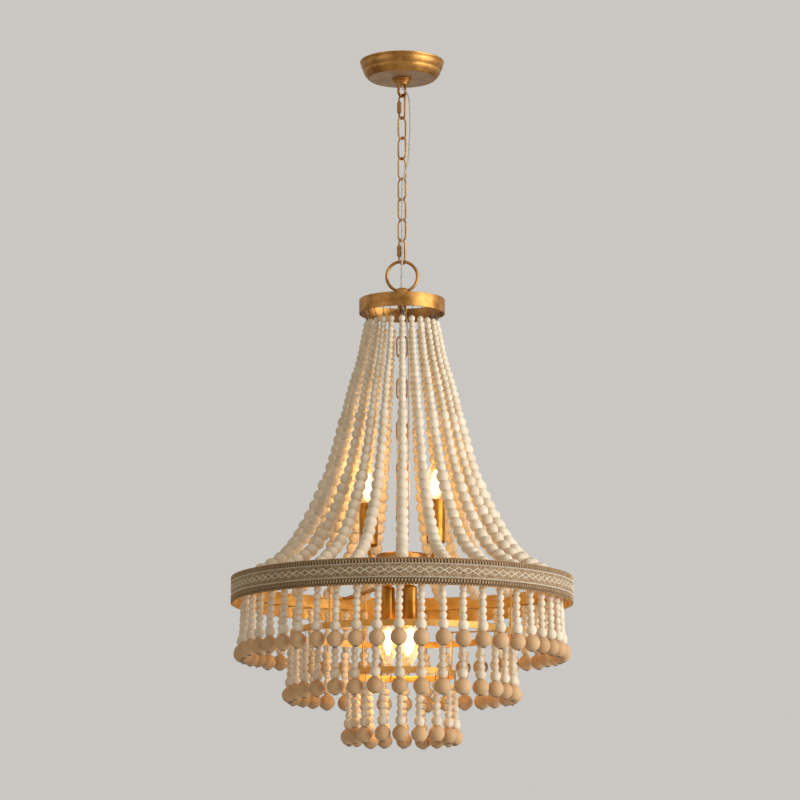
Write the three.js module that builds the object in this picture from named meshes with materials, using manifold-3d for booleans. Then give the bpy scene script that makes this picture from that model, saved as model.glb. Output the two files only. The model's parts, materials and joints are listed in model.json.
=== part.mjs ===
// Beaded chandelier with a ceiling canopy, a link chain and three tiers of wooden beads.
// Millimetres, +Z up. The ceiling is the plane z = 0 and the light hangs below it.
import * as THREE from 'three';
import { mergeVertices } from 'three/addons/utils/BufferGeometryUtils.js';
import initManifold from 'manifold-3d';

const manifold = await initManifold();
manifold.setup();

// Shared clearances
const seatGap = 0.3;      // between pieces that rest on each other
const boreGap = 0.4;      // round a screwed or sliding fit
const ringGap = 0.95;     // between the lower quick link and the thicker hanging ring
const cutOverrun = 2;     // how far a cutting tool passes the face it cuts

// Turns about Z, in degrees from the front, positive towards +X
const frontLeftTurn = -45;
const frontRightTurn = 45;
const armTurns = [-160, -40, 80];
const tabTurns = [-168, -48, 72];
const candleTurns = [-110, 70];
const socketTurns = [-83, 37, 157];
const quarterTurn = 90;

// Ceiling parts
const strap = { length: 110, width: 25, thickness: 2.5, slotLength: 16, slotWidth: 5.5, slotInset: 14 };
const nipple = { radius: 5, bore: 3.2, above: 4 };
const nippleNut = { radius: 9.5, thickness: 4.5 };
const strapScrew = { shankRadius: 2, headRadius: 4.6, headHeight: 2.8, above: 8 };
const screwCrownShare = 0.8; // the head's flat end, of its radius
const canopy = { radius: 76, height: 32, wall: 1.6, discRadius: 59 };
const canopyStep = { rimDepth: 6, coveRadius: 70, coveDepth: 17, beadRadius: 66, beadDepth: 24 };
const collar = { radius: 17.5, height: 7.5, lipRadius: 14, lipHeight: 2.6 };
const loopNeck = { radius: 12, above: 8, below: 9, rollRadius: 10.5, rollHeight: 4, cordBore: 3 };
const loopEye = { width: 21, thickness: 4, depth: 6, drop: 18 };

// Chain
const chainLink = { length: 44.5, width: 22, wire: 3.2, count: 6 };
const innerChain = { count: 10 };
const quickLink = { length: 49, width: 18, wire: 3.5 };
const quickNut = { radius: 3.9, bore: 2.4, length: 20 };

// Hanging ring and crown
const hangingRing = { outer: 60.5, wire: 5.5 };
const ringSeat = { radius: 12, height: 24, sink: 11, rim: 13.5, rimHeight: 2.5 };
const crown = { radius: 76.6, wall: 2, height: 25.7 };
const crossbar = { width: 16, thickness: 3, belowTop: 2 };
const crownLoop = { wire: 3.6, width: 18, post: 5.5 };
const tieStrip = { wall: 1.2, height: 9 };
const wireHole = { aboveEdge: 5 };

// Hub and arms
const crownToHoop = 500.6;
const hub = { radius: 45.5, height: 44, wall: 1.6, aboveHoop: 43, plate: 2, rimRadius: 2.5 };
const hubLoop = { wire: 4, width: 17 };
const bush = { radius: 4.5, height: 3, turn: 54, offset: 11.8 };
const arm = { width: 14, thickness: 3, lap: 12 };

// Lamps
const candle = {
  offset: 63, sleeveRadius: 17.2, baseRadius: 16.4, footShare: 0.78, roundShare: 0.2, height: 77, wall: 1.3,
  aboveHub: 15.7, bore: 8,
};
const candleArm = { radius: 3.4, drop: 17 };
const candleBulb = { radius: 17.5, length: 110, neck: 7, base: 6.8, sink: 30 };
const socket = { offset: 24.6, radius: 11.8, height: 66, wall: 1.5, neckRadius: 6, belowHub: 15 };
const lowerBulb = { radius: 17.5, length: 106, neck: 8, base: 6.8, sink: 28 };

// Hoop and rings
const hoop = { radius: 298.4, wall: 2, height: 45.8 };
const ribbon = { thickness: 1.3, inset: 0.6 };
const middleRing = { radius: 199, wall: 2, height: 11.4, drop: 104.2 };
const bottomRing = { radius: 97.5, wall: 2, height: 11.4, drop: 169.1 };
const rod = { radius: 1.5 };
const tab = { width: 9, thickness: 2 };

// Beads
const smallBead = { radius: 6.5, pitch: 12 };
const mediumBead = { radius: 9.2, pitch: 17.5 };
const largeBead = { radius: 13.25 };
const drapeBead = { small: 6, medium: 9, large: 10.5 };
const strandWire = { radius: 1.1 };
const outerInset = 14.4; // from the hoop's outside in to the outer strands
const tiers = {
  outer: { count: 48, radius: hoop.radius - outerInset, smallBeads: 6, wireDrop: 8 },
  middle: { count: 32, radius: middleRing.radius - middleRing.wall / 2, smallBeads: 5, wireDrop: 3.6 },
  bottom: { count: 18, radius: bottomRing.radius - bottomRing.wall / 2, smallBeads: 5, wireDrop: 11 },
};
// The beads' outline along a strand, as shares of the beads' radii and pitches
const strandShares = { first: 0.25, waist: 0.6, widest: 1 / 3, foot: 0.5 };
const drape = { count: 24, topRadius: 57.8, topDrop: 12 };

// Cord
const cord = { radius: 1.9, sides: 6, stepsPerPoint: 2 };

// Counts of facets
const facets = {
  canopy: 22, hoop: 40, middle: 32, bottom: 24, crown: 24, hub: 18, sleeve: 16, torus: 20, round: 10, small: 8,
  wire: 6, innerWire: 5, strand: 4, linkBend: 6, innerBend: 4,
};

// Places, all worked out from the sizes above
const slotOffset = strap.length / 2 - strap.slotInset;
const canopyBottom = -canopy.height;
const neckBottom = canopyBottom - loopNeck.below;
const eyeBottom = neckBottom - loopNeck.rollHeight - loopEye.drop - loopEye.thickness;
const quickInner = quickLink.length - 2 * quickLink.wire;
const linkPitch = chainLink.length - 2 * chainLink.wire - seatGap;
const chainTop = eyeBottom + loopEye.thickness;
const upperQuickBottom = chainTop + seatGap - quickInner;
const chainBottom = upperQuickBottom - chainLink.count * linkPitch;
const lowerQuickBottom = chainBottom + seatGap - quickInner;
const ringTop = lowerQuickBottom + ringGap + hangingRing.wire;
const ringCentre = ringTop - hangingRing.outer / 2;
const ringBottom = ringTop - hangingRing.outer;
const crownTop = ringBottom + ringSeat.sink - ringSeat.height;
const crownBottom = crownTop - crown.height;
const hoopTop = crownTop - crownToHoop;
const hoopBottom = hoopTop - hoop.height;
const hubTop = hoopTop + hub.aboveHoop;
const hubBottom = hubTop - hub.height;
const armTop = hubBottom - seatGap;
const crossbarTop = crownTop - crossbar.belowTop;
const crossbarBottom = crossbarTop - crossbar.thickness;
const hubLoopTop = hubTop + seatGap + hubLoop.width;
const innerTopSeat = hubLoopTop - hubLoop.wire + innerChain.count * linkPitch;
const innerQuickBottom = innerTopSeat - seatGap;
const crownLoopBottom = innerQuickBottom + quickInner - seatGap - crownLoop.wire;
const middleTop = hoopTop - middleRing.drop;
const bottomTop = hoopTop - bottomRing.drop;

// Materials
function metal(colour, roughness) {
  return new THREE.MeshStandardMaterial({ color: colour, roughness, metalness: 1 });
}

function matt(colour, roughness) {
  return new THREE.MeshStandardMaterial({ color: colour, roughness, metalness: 0 });
}

const finishes = {
  brass: () => metal(0xb07c34, 0.42),
  steel: () => metal(0xa9a9a6, 0.35),
  cream: () => matt(0xe2d3bb, 0.75),
  woven: () => matt(0x8b745a, 0.9),
  bulb: () => new THREE.MeshStandardMaterial({ color: 0xfff2d8, roughness: 0.05, metalness: 0, opacity: 0.5,
    transparent: true }),
  cord: () => matt(0xd9d6ce, 0.4),
};

// Directions
function direction(turn) {
  const angle = THREE.MathUtils.degToRad(turn);
  return new THREE.Vector3(Math.sin(angle), -Math.cos(angle), 0);
}

function uprightPlane(turn, origin = new THREE.Vector3()) {
  const along = direction(turn);
  const up = new THREE.Vector3(0, 0, 1);
  return { origin, along, up, across: new THREE.Vector3().crossVectors(along, up) };
}

function inPlane(plane, point) {
  return plane.origin.clone().addScaledVector(plane.along, point.x).addScaledVector(plane.up, point.y);
}

// Geometry from rings of points that are joined one after the other
function signedVolume(points, faces) {
  const cross = new THREE.Vector3();
  let volume = 0;
  for (let i = 0; i < faces.length; i += 3) {
    cross.crossVectors(points[faces[i + 1]], points[faces[i + 2]]);
    volume += points[faces[i]].dot(cross) / 6;
  }
  return volume;
}

function closedSurface(points, faces) {
  const turned = signedVolume(points, faces) < 0 ? faces.slice().reverse() : faces;
  const geometry = new THREE.BufferGeometry();
  geometry.setAttribute('position', new THREE.Float32BufferAttribute(points.flatMap((p) => p.toArray()), 3));
  geometry.setIndex(turned);
  return geometry;
}

function loft(sections, closed) {
  const sides = sections[0].length;
  const spans = closed ? sections.length : sections.length - 1;
  const faces = [];
  for (let i = 0; i < spans; i += 1) {
    const low = i * sides;
    const high = ((i + 1) % sections.length) * sides;
    for (let k = 0; k < sides; k += 1) {
      const next = (k + 1) % sides;
      faces.push(low + k, low + next, high + next, low + k, high + next, high + k);
    }
  }
  const last = (sections.length - 1) * sides;
  for (let k = 1; !closed && k < sides - 1; k += 1) {
    faces.push(0, k + 1, k, last, last + k, last + k + 1);
  }
  return closedSurface(sections.flat(), faces);
}

// A tube along points of an upright plane; sizes are its half widths in and across the plane
function planeTube(plane, points, sizes, sides, closed = false) {
  const sections = points.map((point, i) => {
    const before = closed ? points[(i + points.length - 1) % points.length] : points[Math.max(i - 1, 0)];
    const after = closed ? points[(i + 1) % points.length] : points[Math.min(i + 1, points.length - 1)];
    const run = new THREE.Vector2().subVectors(after, before).normalize();
    const outward = new THREE.Vector3().addScaledVector(plane.along, run.y).addScaledVector(plane.up, -run.x);
    const centre = inPlane(plane, point);
    const [inside, across] = sizes[Math.min(i, sizes.length - 1)];
    return Array.from({ length: sides }, (_, k) => {
      const angle = (2 * Math.PI * (k + 1 / 2)) / sides;
      return centre.clone().addScaledVector(outward, inside * Math.cos(angle))
        .addScaledVector(plane.across, across * Math.sin(angle));
    });
  });
  return loft(sections, closed);
}

function arc(centreX, centreY, radius, from, to, steps) {
  return Array.from({ length: steps + 1 }, (_, i) => {
    const angle = THREE.MathUtils.degToRad(from + ((to - from) * i) / steps);
    return new THREE.Vector2(centreX + radius * Math.cos(angle), centreY + radius * Math.sin(angle));
  });
}

// The centre line of an oval link: two half circles and the straight legs between them
function ovalLine(length, width, wire, steps) {
  const radius = (width - wire) / 2;
  const reach = (length - width) / 2;
  return [...arc(0, reach, radius, 0, 180, steps), ...arc(0, -reach, radius, 180, 360, steps)];
}

function ovalLink(size, turn, top, steps, sides) {
  const plane = uprightPlane(turn, new THREE.Vector3(0, 0, top - size.length / 2));
  const half = size.wire / 2;
  return planeTube(plane, ovalLine(size.length, size.width, size.wire, steps), [[half, half]], sides, true);
}

// Lathe of a profile of [radius, height] pairs, closed on itself or on the axis
function turned(profile, segments) {
  const points = profile.map(([radius, height]) => new THREE.Vector2(radius, height));
  if (profile[0][0] > 0) points.push(points[0].clone());
  const lathe = new THREE.LatheGeometry(points, segments);
  lathe.deleteAttribute('normal');
  lathe.deleteAttribute('uv');
  const welded = mergeVertices(lathe.rotateX(Math.PI / 2), seatGap / 100);
  const position = welded.getAttribute('position');
  const vertices = Array.from({ length: position.count },
    (_, i) => new THREE.Vector3().fromBufferAttribute(position, i));
  const index = [...welded.getIndex().array];
  const faces = [];
  for (let i = 0; i < index.length; i += 3) {
    const [a, b, c] = index.slice(i, i + 3);
    if (a !== b && b !== c && c !== a) faces.push(a, b, c);
  }
  return closedSurface(vertices, faces);
}

function band(radius, wall, top, height, segments) {
  const inner = radius - wall;
  return turned([[inner, top], [radius, top], [radius, top - height], [inner, top - height]], segments);
}

// The distance from the axis to the flat sides of a turned or drilled polygon, and back
function acrossFlats(radius, segments) {
  return radius * Math.cos(Math.PI / segments);
}

function block(width, depth, height, x, y, z) {
  return new THREE.BoxGeometry(width, depth, height).translate(x, y, z);
}

function pin(radius, top, bottom, x, y, sides) {
  return new THREE.CylinderGeometry(radius, radius, top - bottom, sides).rotateX(Math.PI / 2)
    .translate(x, y, (top + bottom) / 2);
}

// Booleans
function solid(geometry) {
  const plain = geometry.clone();
  plain.deleteAttribute('normal');
  plain.deleteAttribute('uv');
  const welded = mergeVertices(plain, seatGap / 1000);
  const mesh = new manifold.Mesh({
    numProp: 3,
    vertProperties: new Float32Array(welded.getAttribute('position').array),
    triVerts: new Uint32Array(welded.getIndex().array),
  });
  return new manifold.Manifold(mesh);
}

function surface(shape) {
  const mesh = shape.getMesh();
  const geometry = new THREE.BufferGeometry();
  geometry.setAttribute('position', new THREE.Float32BufferAttribute(mesh.vertProperties, mesh.numProp));
  geometry.setIndex([...mesh.triVerts]);
  return geometry;
}

function joined(geometries) {
  return surface(manifold.Manifold.union(geometries.map(solid)));
}

function cut(geometry, tools) {
  return surface(solid(geometry).subtract(manifold.Manifold.union(tools.map(solid))));
}

const group = new THREE.Group();

function add(name, geometry, finish) {
  const flat = geometry.index ? geometry.toNonIndexed() : geometry;
  flat.computeVertexNormals();
  const mesh = new THREE.Mesh(flat, finishes[finish]());
  mesh.name = name;
  group.add(mesh);
}

// Ceiling strap, nipple, nut and screws
function mountingStrap() {
  const plate = block(strap.length, strap.width, strap.thickness, 0, 0, -strap.thickness / 2);
  const under = -strap.thickness - cutOverrun;
  const hole = pin(nipple.radius + boreGap, cutOverrun, under, 0, 0, facets.round);
  const slots = [-1, 1].map((side) => block(strap.slotLength, strap.slotWidth, strap.thickness + 2 * cutOverrun,
    side * slotOffset, 0, -strap.thickness / 2));
  return cut(plate, [hole, ...slots]);
}

function threadedNipple() {
  const bottom = canopyBottom + loopNeck.above / 2;
  return turned([[nipple.bore, nipple.above], [nipple.radius, nipple.above], [nipple.radius, bottom],
    [nipple.bore, bottom]], facets.round);
}

function lockNut() {
  const top = -strap.thickness - seatGap;
  const bore = (nipple.radius + boreGap) / Math.cos(Math.PI / facets.wire);
  return turned([[bore, top], [nippleNut.radius, top], [nippleNut.radius, top - nippleNut.thickness],
    [bore, top - nippleNut.thickness]], facets.wire);
}

function screwInStrap(side) {
  const seat = -strap.thickness - seatGap;
  const head = seat - strapScrew.headHeight;
  const screw = turned([[0, strapScrew.above], [strapScrew.shankRadius, strapScrew.above],
    [strapScrew.shankRadius, seat], [strapScrew.headRadius, seat], [strapScrew.headRadius * screwCrownShare, head],
    [0, head]], facets.small);
  return screw.translate(side * slotOffset, 0, 0);
}

// The canopy is a thin spun shell: an upright rim, a cove, a bead and a flat disc with a hole
function canopyShell() {
  const hole = loopNeck.radius + boreGap;
  const outside = [
    [canopy.radius - canopy.wall, 0],
    [canopy.radius, -canopy.wall],
    [canopy.radius - canopy.wall, -canopyStep.rimDepth],
    [canopyStep.coveRadius, -canopyStep.coveDepth],
    [canopyStep.beadRadius + canopy.wall, -canopyStep.coveDepth - canopy.wall],
    [canopyStep.beadRadius, -canopyStep.beadDepth],
    [canopy.discRadius, canopyBottom],
    [hole, canopyBottom],
  ];
  const inside = [
    [hole, canopyBottom + canopy.wall],
    [canopy.discRadius - canopy.wall / 2, canopyBottom + canopy.wall],
    [canopyStep.beadRadius - canopy.wall, -canopyStep.beadDepth],
    [canopyStep.coveRadius - canopy.wall, -canopyStep.coveDepth + canopy.wall],
    [canopy.radius - 2 * canopy.wall, -canopyStep.rimDepth + canopy.wall],
    [canopy.radius - 2 * canopy.wall, 0],
  ];
  return turned([...outside, ...inside], facets.canopy);
}

function collarRing() {
  const bore = loopNeck.radius + boreGap;
  const top = canopyBottom - seatGap;
  const lip = top - collar.height + collar.lipHeight;
  return turned([[bore, top], [collar.radius, top], [collar.radius, lip], [collar.lipRadius, lip],
    [collar.lipRadius, top - collar.height], [bore, top - collar.height]], facets.round + facets.wire);
}

// The loop's threaded body takes the nipple from above and ends in a wide eye
function collarLoop() {
  const top = canopyBottom + loopNeck.above;
  const roll = neckBottom - loopNeck.rollHeight;
  const nippleEnd = canopyBottom + loopNeck.above / 2 - seatGap;
  const body = turned([[0, top], [loopNeck.radius, top], [loopNeck.radius, neckBottom],
    [loopNeck.rollRadius, roll], [0, roll]], facets.round + facets.wire);
  const plane = uprightPlane(frontRightTurn + quarterTurn);
  const half = (loopEye.width - loopEye.thickness) / 2;
  const arcCentre = eyeBottom + loopEye.thickness / 2 + half;
  const shoulder = neckBottom - loopNeck.rollHeight / 2;
  const line = [new THREE.Vector2(half, shoulder), ...arc(0, arcCentre, half, 0, -180, facets.linkBend),
    new THREE.Vector2(-half, shoulder)];
  const eye = planeTube(plane, line, [[loopEye.thickness / 2, loopEye.depth / 2]], facets.wire);
  const cordBore = pin(loopNeck.cordBore, top + cutOverrun, roll - cutOverrun, 0, 0, facets.small);
  const nippleBore = pin(nipple.radius + boreGap, top + cutOverrun, nippleEnd, 0, 0, facets.round);
  return cut(joined([body, eye]), [cordBore, nippleBore]);
}

// Quick links and their sleeve nuts; nutSide is which leg carries the nut
function quickLinkBody(turn, top) {
  return ovalLink(quickLink, turn, top, facets.linkBend, facets.wire);
}

function quickLinkNut(turn, top, nutSide) {
  const centre = top - quickLink.length / 2;
  const leg = direction(turn).multiplyScalar((nutSide * (quickLink.width - quickLink.wire)) / 2);
  const half = quickNut.length / 2;
  return turned([[quickNut.bore, half], [quickNut.radius, half], [quickNut.radius, -half],
    [quickNut.bore, -half]], facets.wire).translate(leg.x, leg.y, centre);
}

// A chain: link i hangs in link i - 1 and is turned a quarter against it
function chain(names, firstTurn, topSeat, sides, steps) {
  names.forEach((name, i) => {
    const turn = firstTurn + quarterTurn * (i % 2);
    const top = topSeat + chainLink.wire - i * linkPitch;
    add(name, ovalLink(chainLink, turn, top, steps, sides), 'brass');
  });
}

// The seat's dome, as shares of its radius
const domeShares = [[0, 0], [0.7, 0.12], [1, 0.55]];

// The hanging ring stands in a domed seat that is bored for the cord
function hangingRingWithSeat() {
  const centre = new THREE.Vector3(0, 0, ringCentre);
  const radius = (hangingRing.outer - hangingRing.wire) / 2;
  const line = arc(0, 0, radius, 0, 360 - 360 / facets.torus, facets.torus - 1);
  const half = hangingRing.wire / 2;
  const ring = planeTube(uprightPlane(quarterTurn, centre), line, [[half, half]], facets.wire, true);
  const top = ringBottom + ringSeat.sink;
  const arch = domeShares.map(([out, down]) => [ringSeat.radius * out, top - ringSeat.radius * down]);
  const foot = crossbarTop + seatGap;
  const dome = turned([...arch, [ringSeat.radius, crownTop + ringSeat.rimHeight], [ringSeat.rim, crownTop],
    [ringSeat.rim, foot], [0, foot]], facets.round);
  return cut(joined([ring, dome]), [cordBoreAt(cordPoint(seatRow), top, crossbarTop)]);
}

function crownCrossbar() {
  const inside = acrossFlats(crown.radius - crown.wall, facets.crown);
  const length = 2 * Math.sqrt(inside ** 2 - (crossbar.width / 2) ** 2) - 2 * seatGap;
  const bar = block(crossbar.width, length, crossbar.thickness, 0, 0, (crossbarTop + crossbarBottom) / 2);
  const post = pin(crownLoop.post / 2 + boreGap, crossbarTop + cutOverrun, crossbarBottom - cutOverrun, 0, 0,
    facets.small);
  return cut(bar, [cordBoreAt(cordPoint(seatRow), crossbarTop, crossbarBottom), post]);
}

// An eye on a round post
function eyeOnPost(size, turn, eyeEnd, postEnd, postRadius) {
  const up = Math.sign(eyeEnd - postEnd);
  const radius = (size.width - size.wire) / 2;
  const centre = eyeEnd - up * size.width / 2;
  const count = facets.small;
  const line = arc(0, centre, radius, 0, 360 - 360 / count, count - 1);
  const ring = planeTube(uprightPlane(turn), line, [[size.wire / 2, size.wire / 2]], facets.innerWire, true);
  const near = centre - up * radius;
  const post = pin(postRadius, Math.max(near, postEnd), Math.min(near, postEnd), 0, 0, facets.wire);
  return joined([ring, post]);
}

// A cutting pin for the cord, through a piece that reaches from top to bottom
function cordBoreAt(place, top, bottom) {
  return pin(cord.radius + boreGap, top + cutOverrun, bottom - cutOverrun, place.x, place.y, facets.small);
}

// Hub cover: a drum open below; the plate closes it and carries the lower sockets
function hubCover() {
  const inner = hub.radius - hub.wall;
  const shell = turned([[0, hubTop], [hub.radius - hub.rimRadius, hubTop], [hub.radius, hubTop - hub.rimRadius],
    [hub.radius, hubBottom], [inner, hubBottom], [inner, hubTop - hub.wall - hub.rimRadius],
    [0, hubTop - hub.wall - hub.rimRadius]], facets.hub);
  const centre = direction(bush.turn).multiplyScalar(bush.offset);
  const guide = pin(bush.radius, hubTop + bush.height, hubTop - hub.wall, centre.x, centre.y, facets.small);
  const under = hubTop - hub.wall - hub.rimRadius;
  const bore = cordBoreAt(centre, hubTop + bush.height, under);
  const post = pin(hubLoop.wire / 2 + boreGap, hubTop + cutOverrun, under - cutOverrun, 0, 0, facets.small);
  return cut(joined([shell, guide]), [bore, post]);
}

function hubPlate() {
  const radius = hub.radius - hub.wall - seatGap;
  return turned([[0, hubBottom + hub.plate], [radius, hubBottom + hub.plate], [radius, hubBottom], [0, hubBottom]],
    facets.hub);
}

// A flat arm from under the hub's rim to the inside of the hoop
function flatArm(turn) {
  const start = hub.radius - arm.lap;
  const end = acrossFlats(hoop.radius - hoop.wall, facets.hoop) - seatGap;
  const bar = block(arm.width, end - start + arm.width, arm.thickness, 0, -(start + end + arm.width) / 2,
    armTop - arm.thickness / 2);
  const round = pin(end, armTop + cutOverrun, armTop - arm.thickness - cutOverrun, 0, 0, facets.hoop * 2);
  return surface(solid(bar).intersect(solid(round))).rotateZ(THREE.MathUtils.degToRad(turn));
}

// The bend of a candle arm, as shares of its reach and of its rise
const candleArmShares = [[0, 0], [0.25, 0], [0.5, 0.16], [0.72, 0.42], [0.9, 0.68], [1, 0.9], [1, 1]];

// Candle holder: a curved arm out of the hub's side and a wide sleeve with a rounded foot on its end
function candleHolder(turn) {
  const bottom = hubTop + candle.aboveHub;
  const top = bottom + candle.height;
  const sleeve = turned([[0, bottom], [candle.baseRadius * candle.footShare, bottom],
    [candle.baseRadius, bottom + candle.baseRadius * candle.roundShare], [candle.sleeveRadius, top],
    [candle.sleeveRadius - candle.wall, top], [candle.bore, top - candleBulb.sink],
    [0, top - candleBulb.sink]], facets.sleeve);
  const at = direction(turn).multiplyScalar(candle.offset);
  sleeve.translate(at.x, at.y, 0);
  const rise = bottom + candle.wall;
  const low = hubTop - candleArm.drop;
  const start = acrossFlats(hub.radius, facets.hub) + seatGap;
  const bend = candle.offset - start;
  const line = candleArmShares.map(
    ([out, up]) => new THREE.Vector2(start + out * bend, low + up * (rise - low)));
  const tube = planeTube(uprightPlane(turn), line, [[candleArm.radius, candleArm.radius]], facets.wire);
  return joined([sleeve, tube]);
}

// The glass, as shares of its radius and of its height above the cap; the cap, as shares of sink and base
const bulbShares = [[0.85, 0.2], [1, 0.38], [0.72, 0.65], [0.3, 0.88], [0, 1]];
const bulbCapShares = { tip: 0.6, height: 0.9 };

// Bulb profiles run from the base up to the tip
function bulbProfile(size) {
  const start = size.sink * bulbCapShares.height;
  const glass = bulbShares.map(([out, up]) => [size.radius * out, start + (size.length - start) * up]);
  return [[0, 0], [size.base * bulbCapShares.tip, 0], [size.base, size.base / 2], [size.base, start], ...glass];
}

function candleLamp(turn) {
  const seat = hubTop + candle.aboveHub + candle.height - candleBulb.sink + seatGap;
  const at = direction(turn).multiplyScalar(candle.offset);
  return turned(bulbProfile(candleBulb), facets.small).translate(at.x, at.y, seat);
}

// Lower socket: a neck on the hub plate and a cup that opens downwards
function lowerSocket(turn) {
  const neckTop = hubBottom - seatGap;
  const top = hubBottom - socket.belowHub;
  const bottom = top - socket.height;
  const inner = socket.radius - socket.wall;
  const deep = bottom + lowerBulb.sink;
  const at = direction(turn).multiplyScalar(socket.offset);
  return turned([[0, neckTop], [socket.neckRadius, neckTop], [socket.neckRadius, top + socket.wall],
    [socket.radius - socket.wall, top], [socket.radius, top - socket.wall], [socket.radius, bottom],
    [inner, bottom], [inner, deep], [0, deep]], facets.small).translate(at.x, at.y, 0);
}

function lowerLamp(turn) {
  const seat = hubBottom - socket.belowHub - socket.height + lowerBulb.sink - seatGap;
  const at = direction(turn).multiplyScalar(socket.offset);
  const profile = bulbProfile(lowerBulb).map(([radius, height]) => [radius, -height]);
  return turned(profile, facets.small).translate(at.x, at.y, seat);
}

// Strands: a wire out of the carrier, a run of small beads, one medium bead and one large bead
function hangingStrand(tier, wireStart, runTop, turn) {
  const runBottom = runTop - tier.smallBeads * smallBead.pitch;
  const mediumBottom = runBottom - mediumBead.pitch;
  const large = mediumBottom - largeBead.radius;
  const stations = [
    [runTop - smallBead.pitch * strandShares.first, smallBead.radius],
    [runBottom - mediumBead.pitch / 2, mediumBead.radius],
    [mediumBottom, smallBead.radius * strandShares.waist],
    [large + largeBead.radius * strandShares.widest, largeBead.radius],
    [large - largeBead.radius, largeBead.radius * strandShares.foot],
  ];
  const line = [wireStart, ...stations.map(([height]) => new THREE.Vector2(tier.radius, height))];
  const sizes = [strandWire.radius, ...stations.map(([, size]) => size)].map((size) => [size, size]);
  return planeTube(uprightPlane(turn), line, sizes, facets.strand);
}

function withStrands(tier, wireStart, runTop, carrier) {
  const turns = Array.from({ length: tier.count }, (_, i) => (360 * i) / tier.count);
  return joined([...carrier, ...turns.map((turn) => hangingStrand(tier, wireStart, runTop, turn))]);
}

// The hoop is two strips, one above the other; the outer strands hang from holes at their seam
function outerTier() {
  const top = hoopTop - hoop.height / 2 - seatGap;
  const strip = band(hoop.radius, hoop.wall, top, top - hoopBottom, facets.hoop);
  const hole = new THREE.Vector2(acrossFlats(hoop.radius, facets.hoop) - hoop.wall / 2,
    top - wireHole.aboveEdge / 2);
  return withStrands(tiers.outer, hole, top - tiers.outer.wireDrop, [strip]);
}

// The lower rings carry their strands under their bottom edge
function hangUnder(tier, ringBottom) {
  return [new THREE.Vector2(tier.radius, ringBottom + seatGap), ringBottom - tier.wireDrop];
}

function hoopUpperStrip() {
  return band(hoop.radius, hoop.wall, hoopTop, hoop.height / 2, facets.hoop);
}

function ribbonTrim() {
  const height = hoop.height - 2 * ribbon.inset;
  const outside = hoop.radius + seatGap + ribbon.thickness;
  return band(outside, ribbon.thickness, hoopTop - ribbon.inset, height, facets.hoop);
}

function rodAt(turn, radius, top, bottom) {
  const at = direction(turn).multiplyScalar(radius);
  return pin(rod.radius, top, bottom, at.x, at.y, facets.wire);
}

function middleTier() {
  const ring = band(middleRing.radius, middleRing.wall, middleTop, middleRing.height, facets.middle);
  const armBottom = armTop - arm.thickness - seatGap;
  const line = middleRing.radius - middleRing.wall / 2;
  const rods = armTurns.map((turn) => rodAt(turn, line - rod.radius, armBottom, middleTop - middleRing.height / 2));
  const start = bottomRing.radius - bottomRing.wall - 3 * rod.radius;
  const tabs = tabTurns.map((turn) => block(tab.width, line - start, tab.thickness, 0, -(start + line) / 2,
    middleTop - middleRing.height / 2).rotateZ(THREE.MathUtils.degToRad(turn)));
  const hung = hangUnder(tiers.middle, middleTop - middleRing.height);
  return withStrands(tiers.middle, ...hung, [ring, ...rods, ...tabs]);
}

function bottomTier() {
  const ring = band(bottomRing.radius, bottomRing.wall, bottomTop, bottomRing.height, facets.bottom);
  const tabBottom = middleTop - middleRing.height / 2 - tab.thickness / 2 - seatGap;
  const line = bottomRing.radius - bottomRing.wall / 2 - rod.radius;
  const rods = tabTurns.map((turn) => rodAt(turn, line, tabBottom, bottomTop - bottomRing.height / 2));
  return withStrands(tiers.bottom, ...hangUnder(tiers.bottom, bottomTop - bottomRing.height), [ring, ...rods]);
}

// The line of a draped strand, as shares of its run out to the hoop and of its height above the hoop
const drapeShares = [[0, 1], [0.075, 0.825], [0.2, 0.592], [0.367, 0.341], [0.538, 0.181], [0.738, 0.067],
  [0.88, 0.045], [1, 0]];

function drapeLine() {
  const end = acrossFlats(hoop.radius - hoop.wall, facets.hoop) - drapeBead.large - 2 * seatGap;
  const rise = crownBottom - drape.topDrop - hoopTop;
  return drapeShares.map(([out, up]) => new THREE.Vector2(
    drape.topRadius + out * (end - drape.topRadius), hoopTop + up * rise));
}

// How far along its points a strand keeps its small and its medium beads
const drapeSizeShares = { small: 0.3, medium: 0.45 };

function drapeSize(share) {
  if (share < drapeSizeShares.small) return drapeBead.small;
  return share < drapeSizeShares.medium ? drapeBead.medium : drapeBead.large;
}

// A thin strip inside the crown band carries the draped strands by their wires
function drapeTier() {
  const outer = acrossFlats(crown.radius - crown.wall, facets.crown) - seatGap;
  const strip = band(outer, tieStrip.wall, crownBottom + tieStrip.height, tieStrip.height, facets.crown);
  const line = drapeLine();
  const hole = new THREE.Vector2(acrossFlats(outer, facets.crown) - tieStrip.wall / 2,
    crownBottom + wireHole.aboveEdge);
  const radii = [strandWire.radius, ...line.map((_, i) => drapeSize(i / (line.length - 1)))];
  const sizes = radii.map((radius) => [radius, radius]);
  const turns = Array.from({ length: drape.count }, (_, i) => (360 * i) / drape.count);
  const strands = turns.map((turn) => planeTube(uprightPlane(turn), [hole, ...line], sizes, facets.strand));
  return joined([strip, ...strands]);
}

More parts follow.
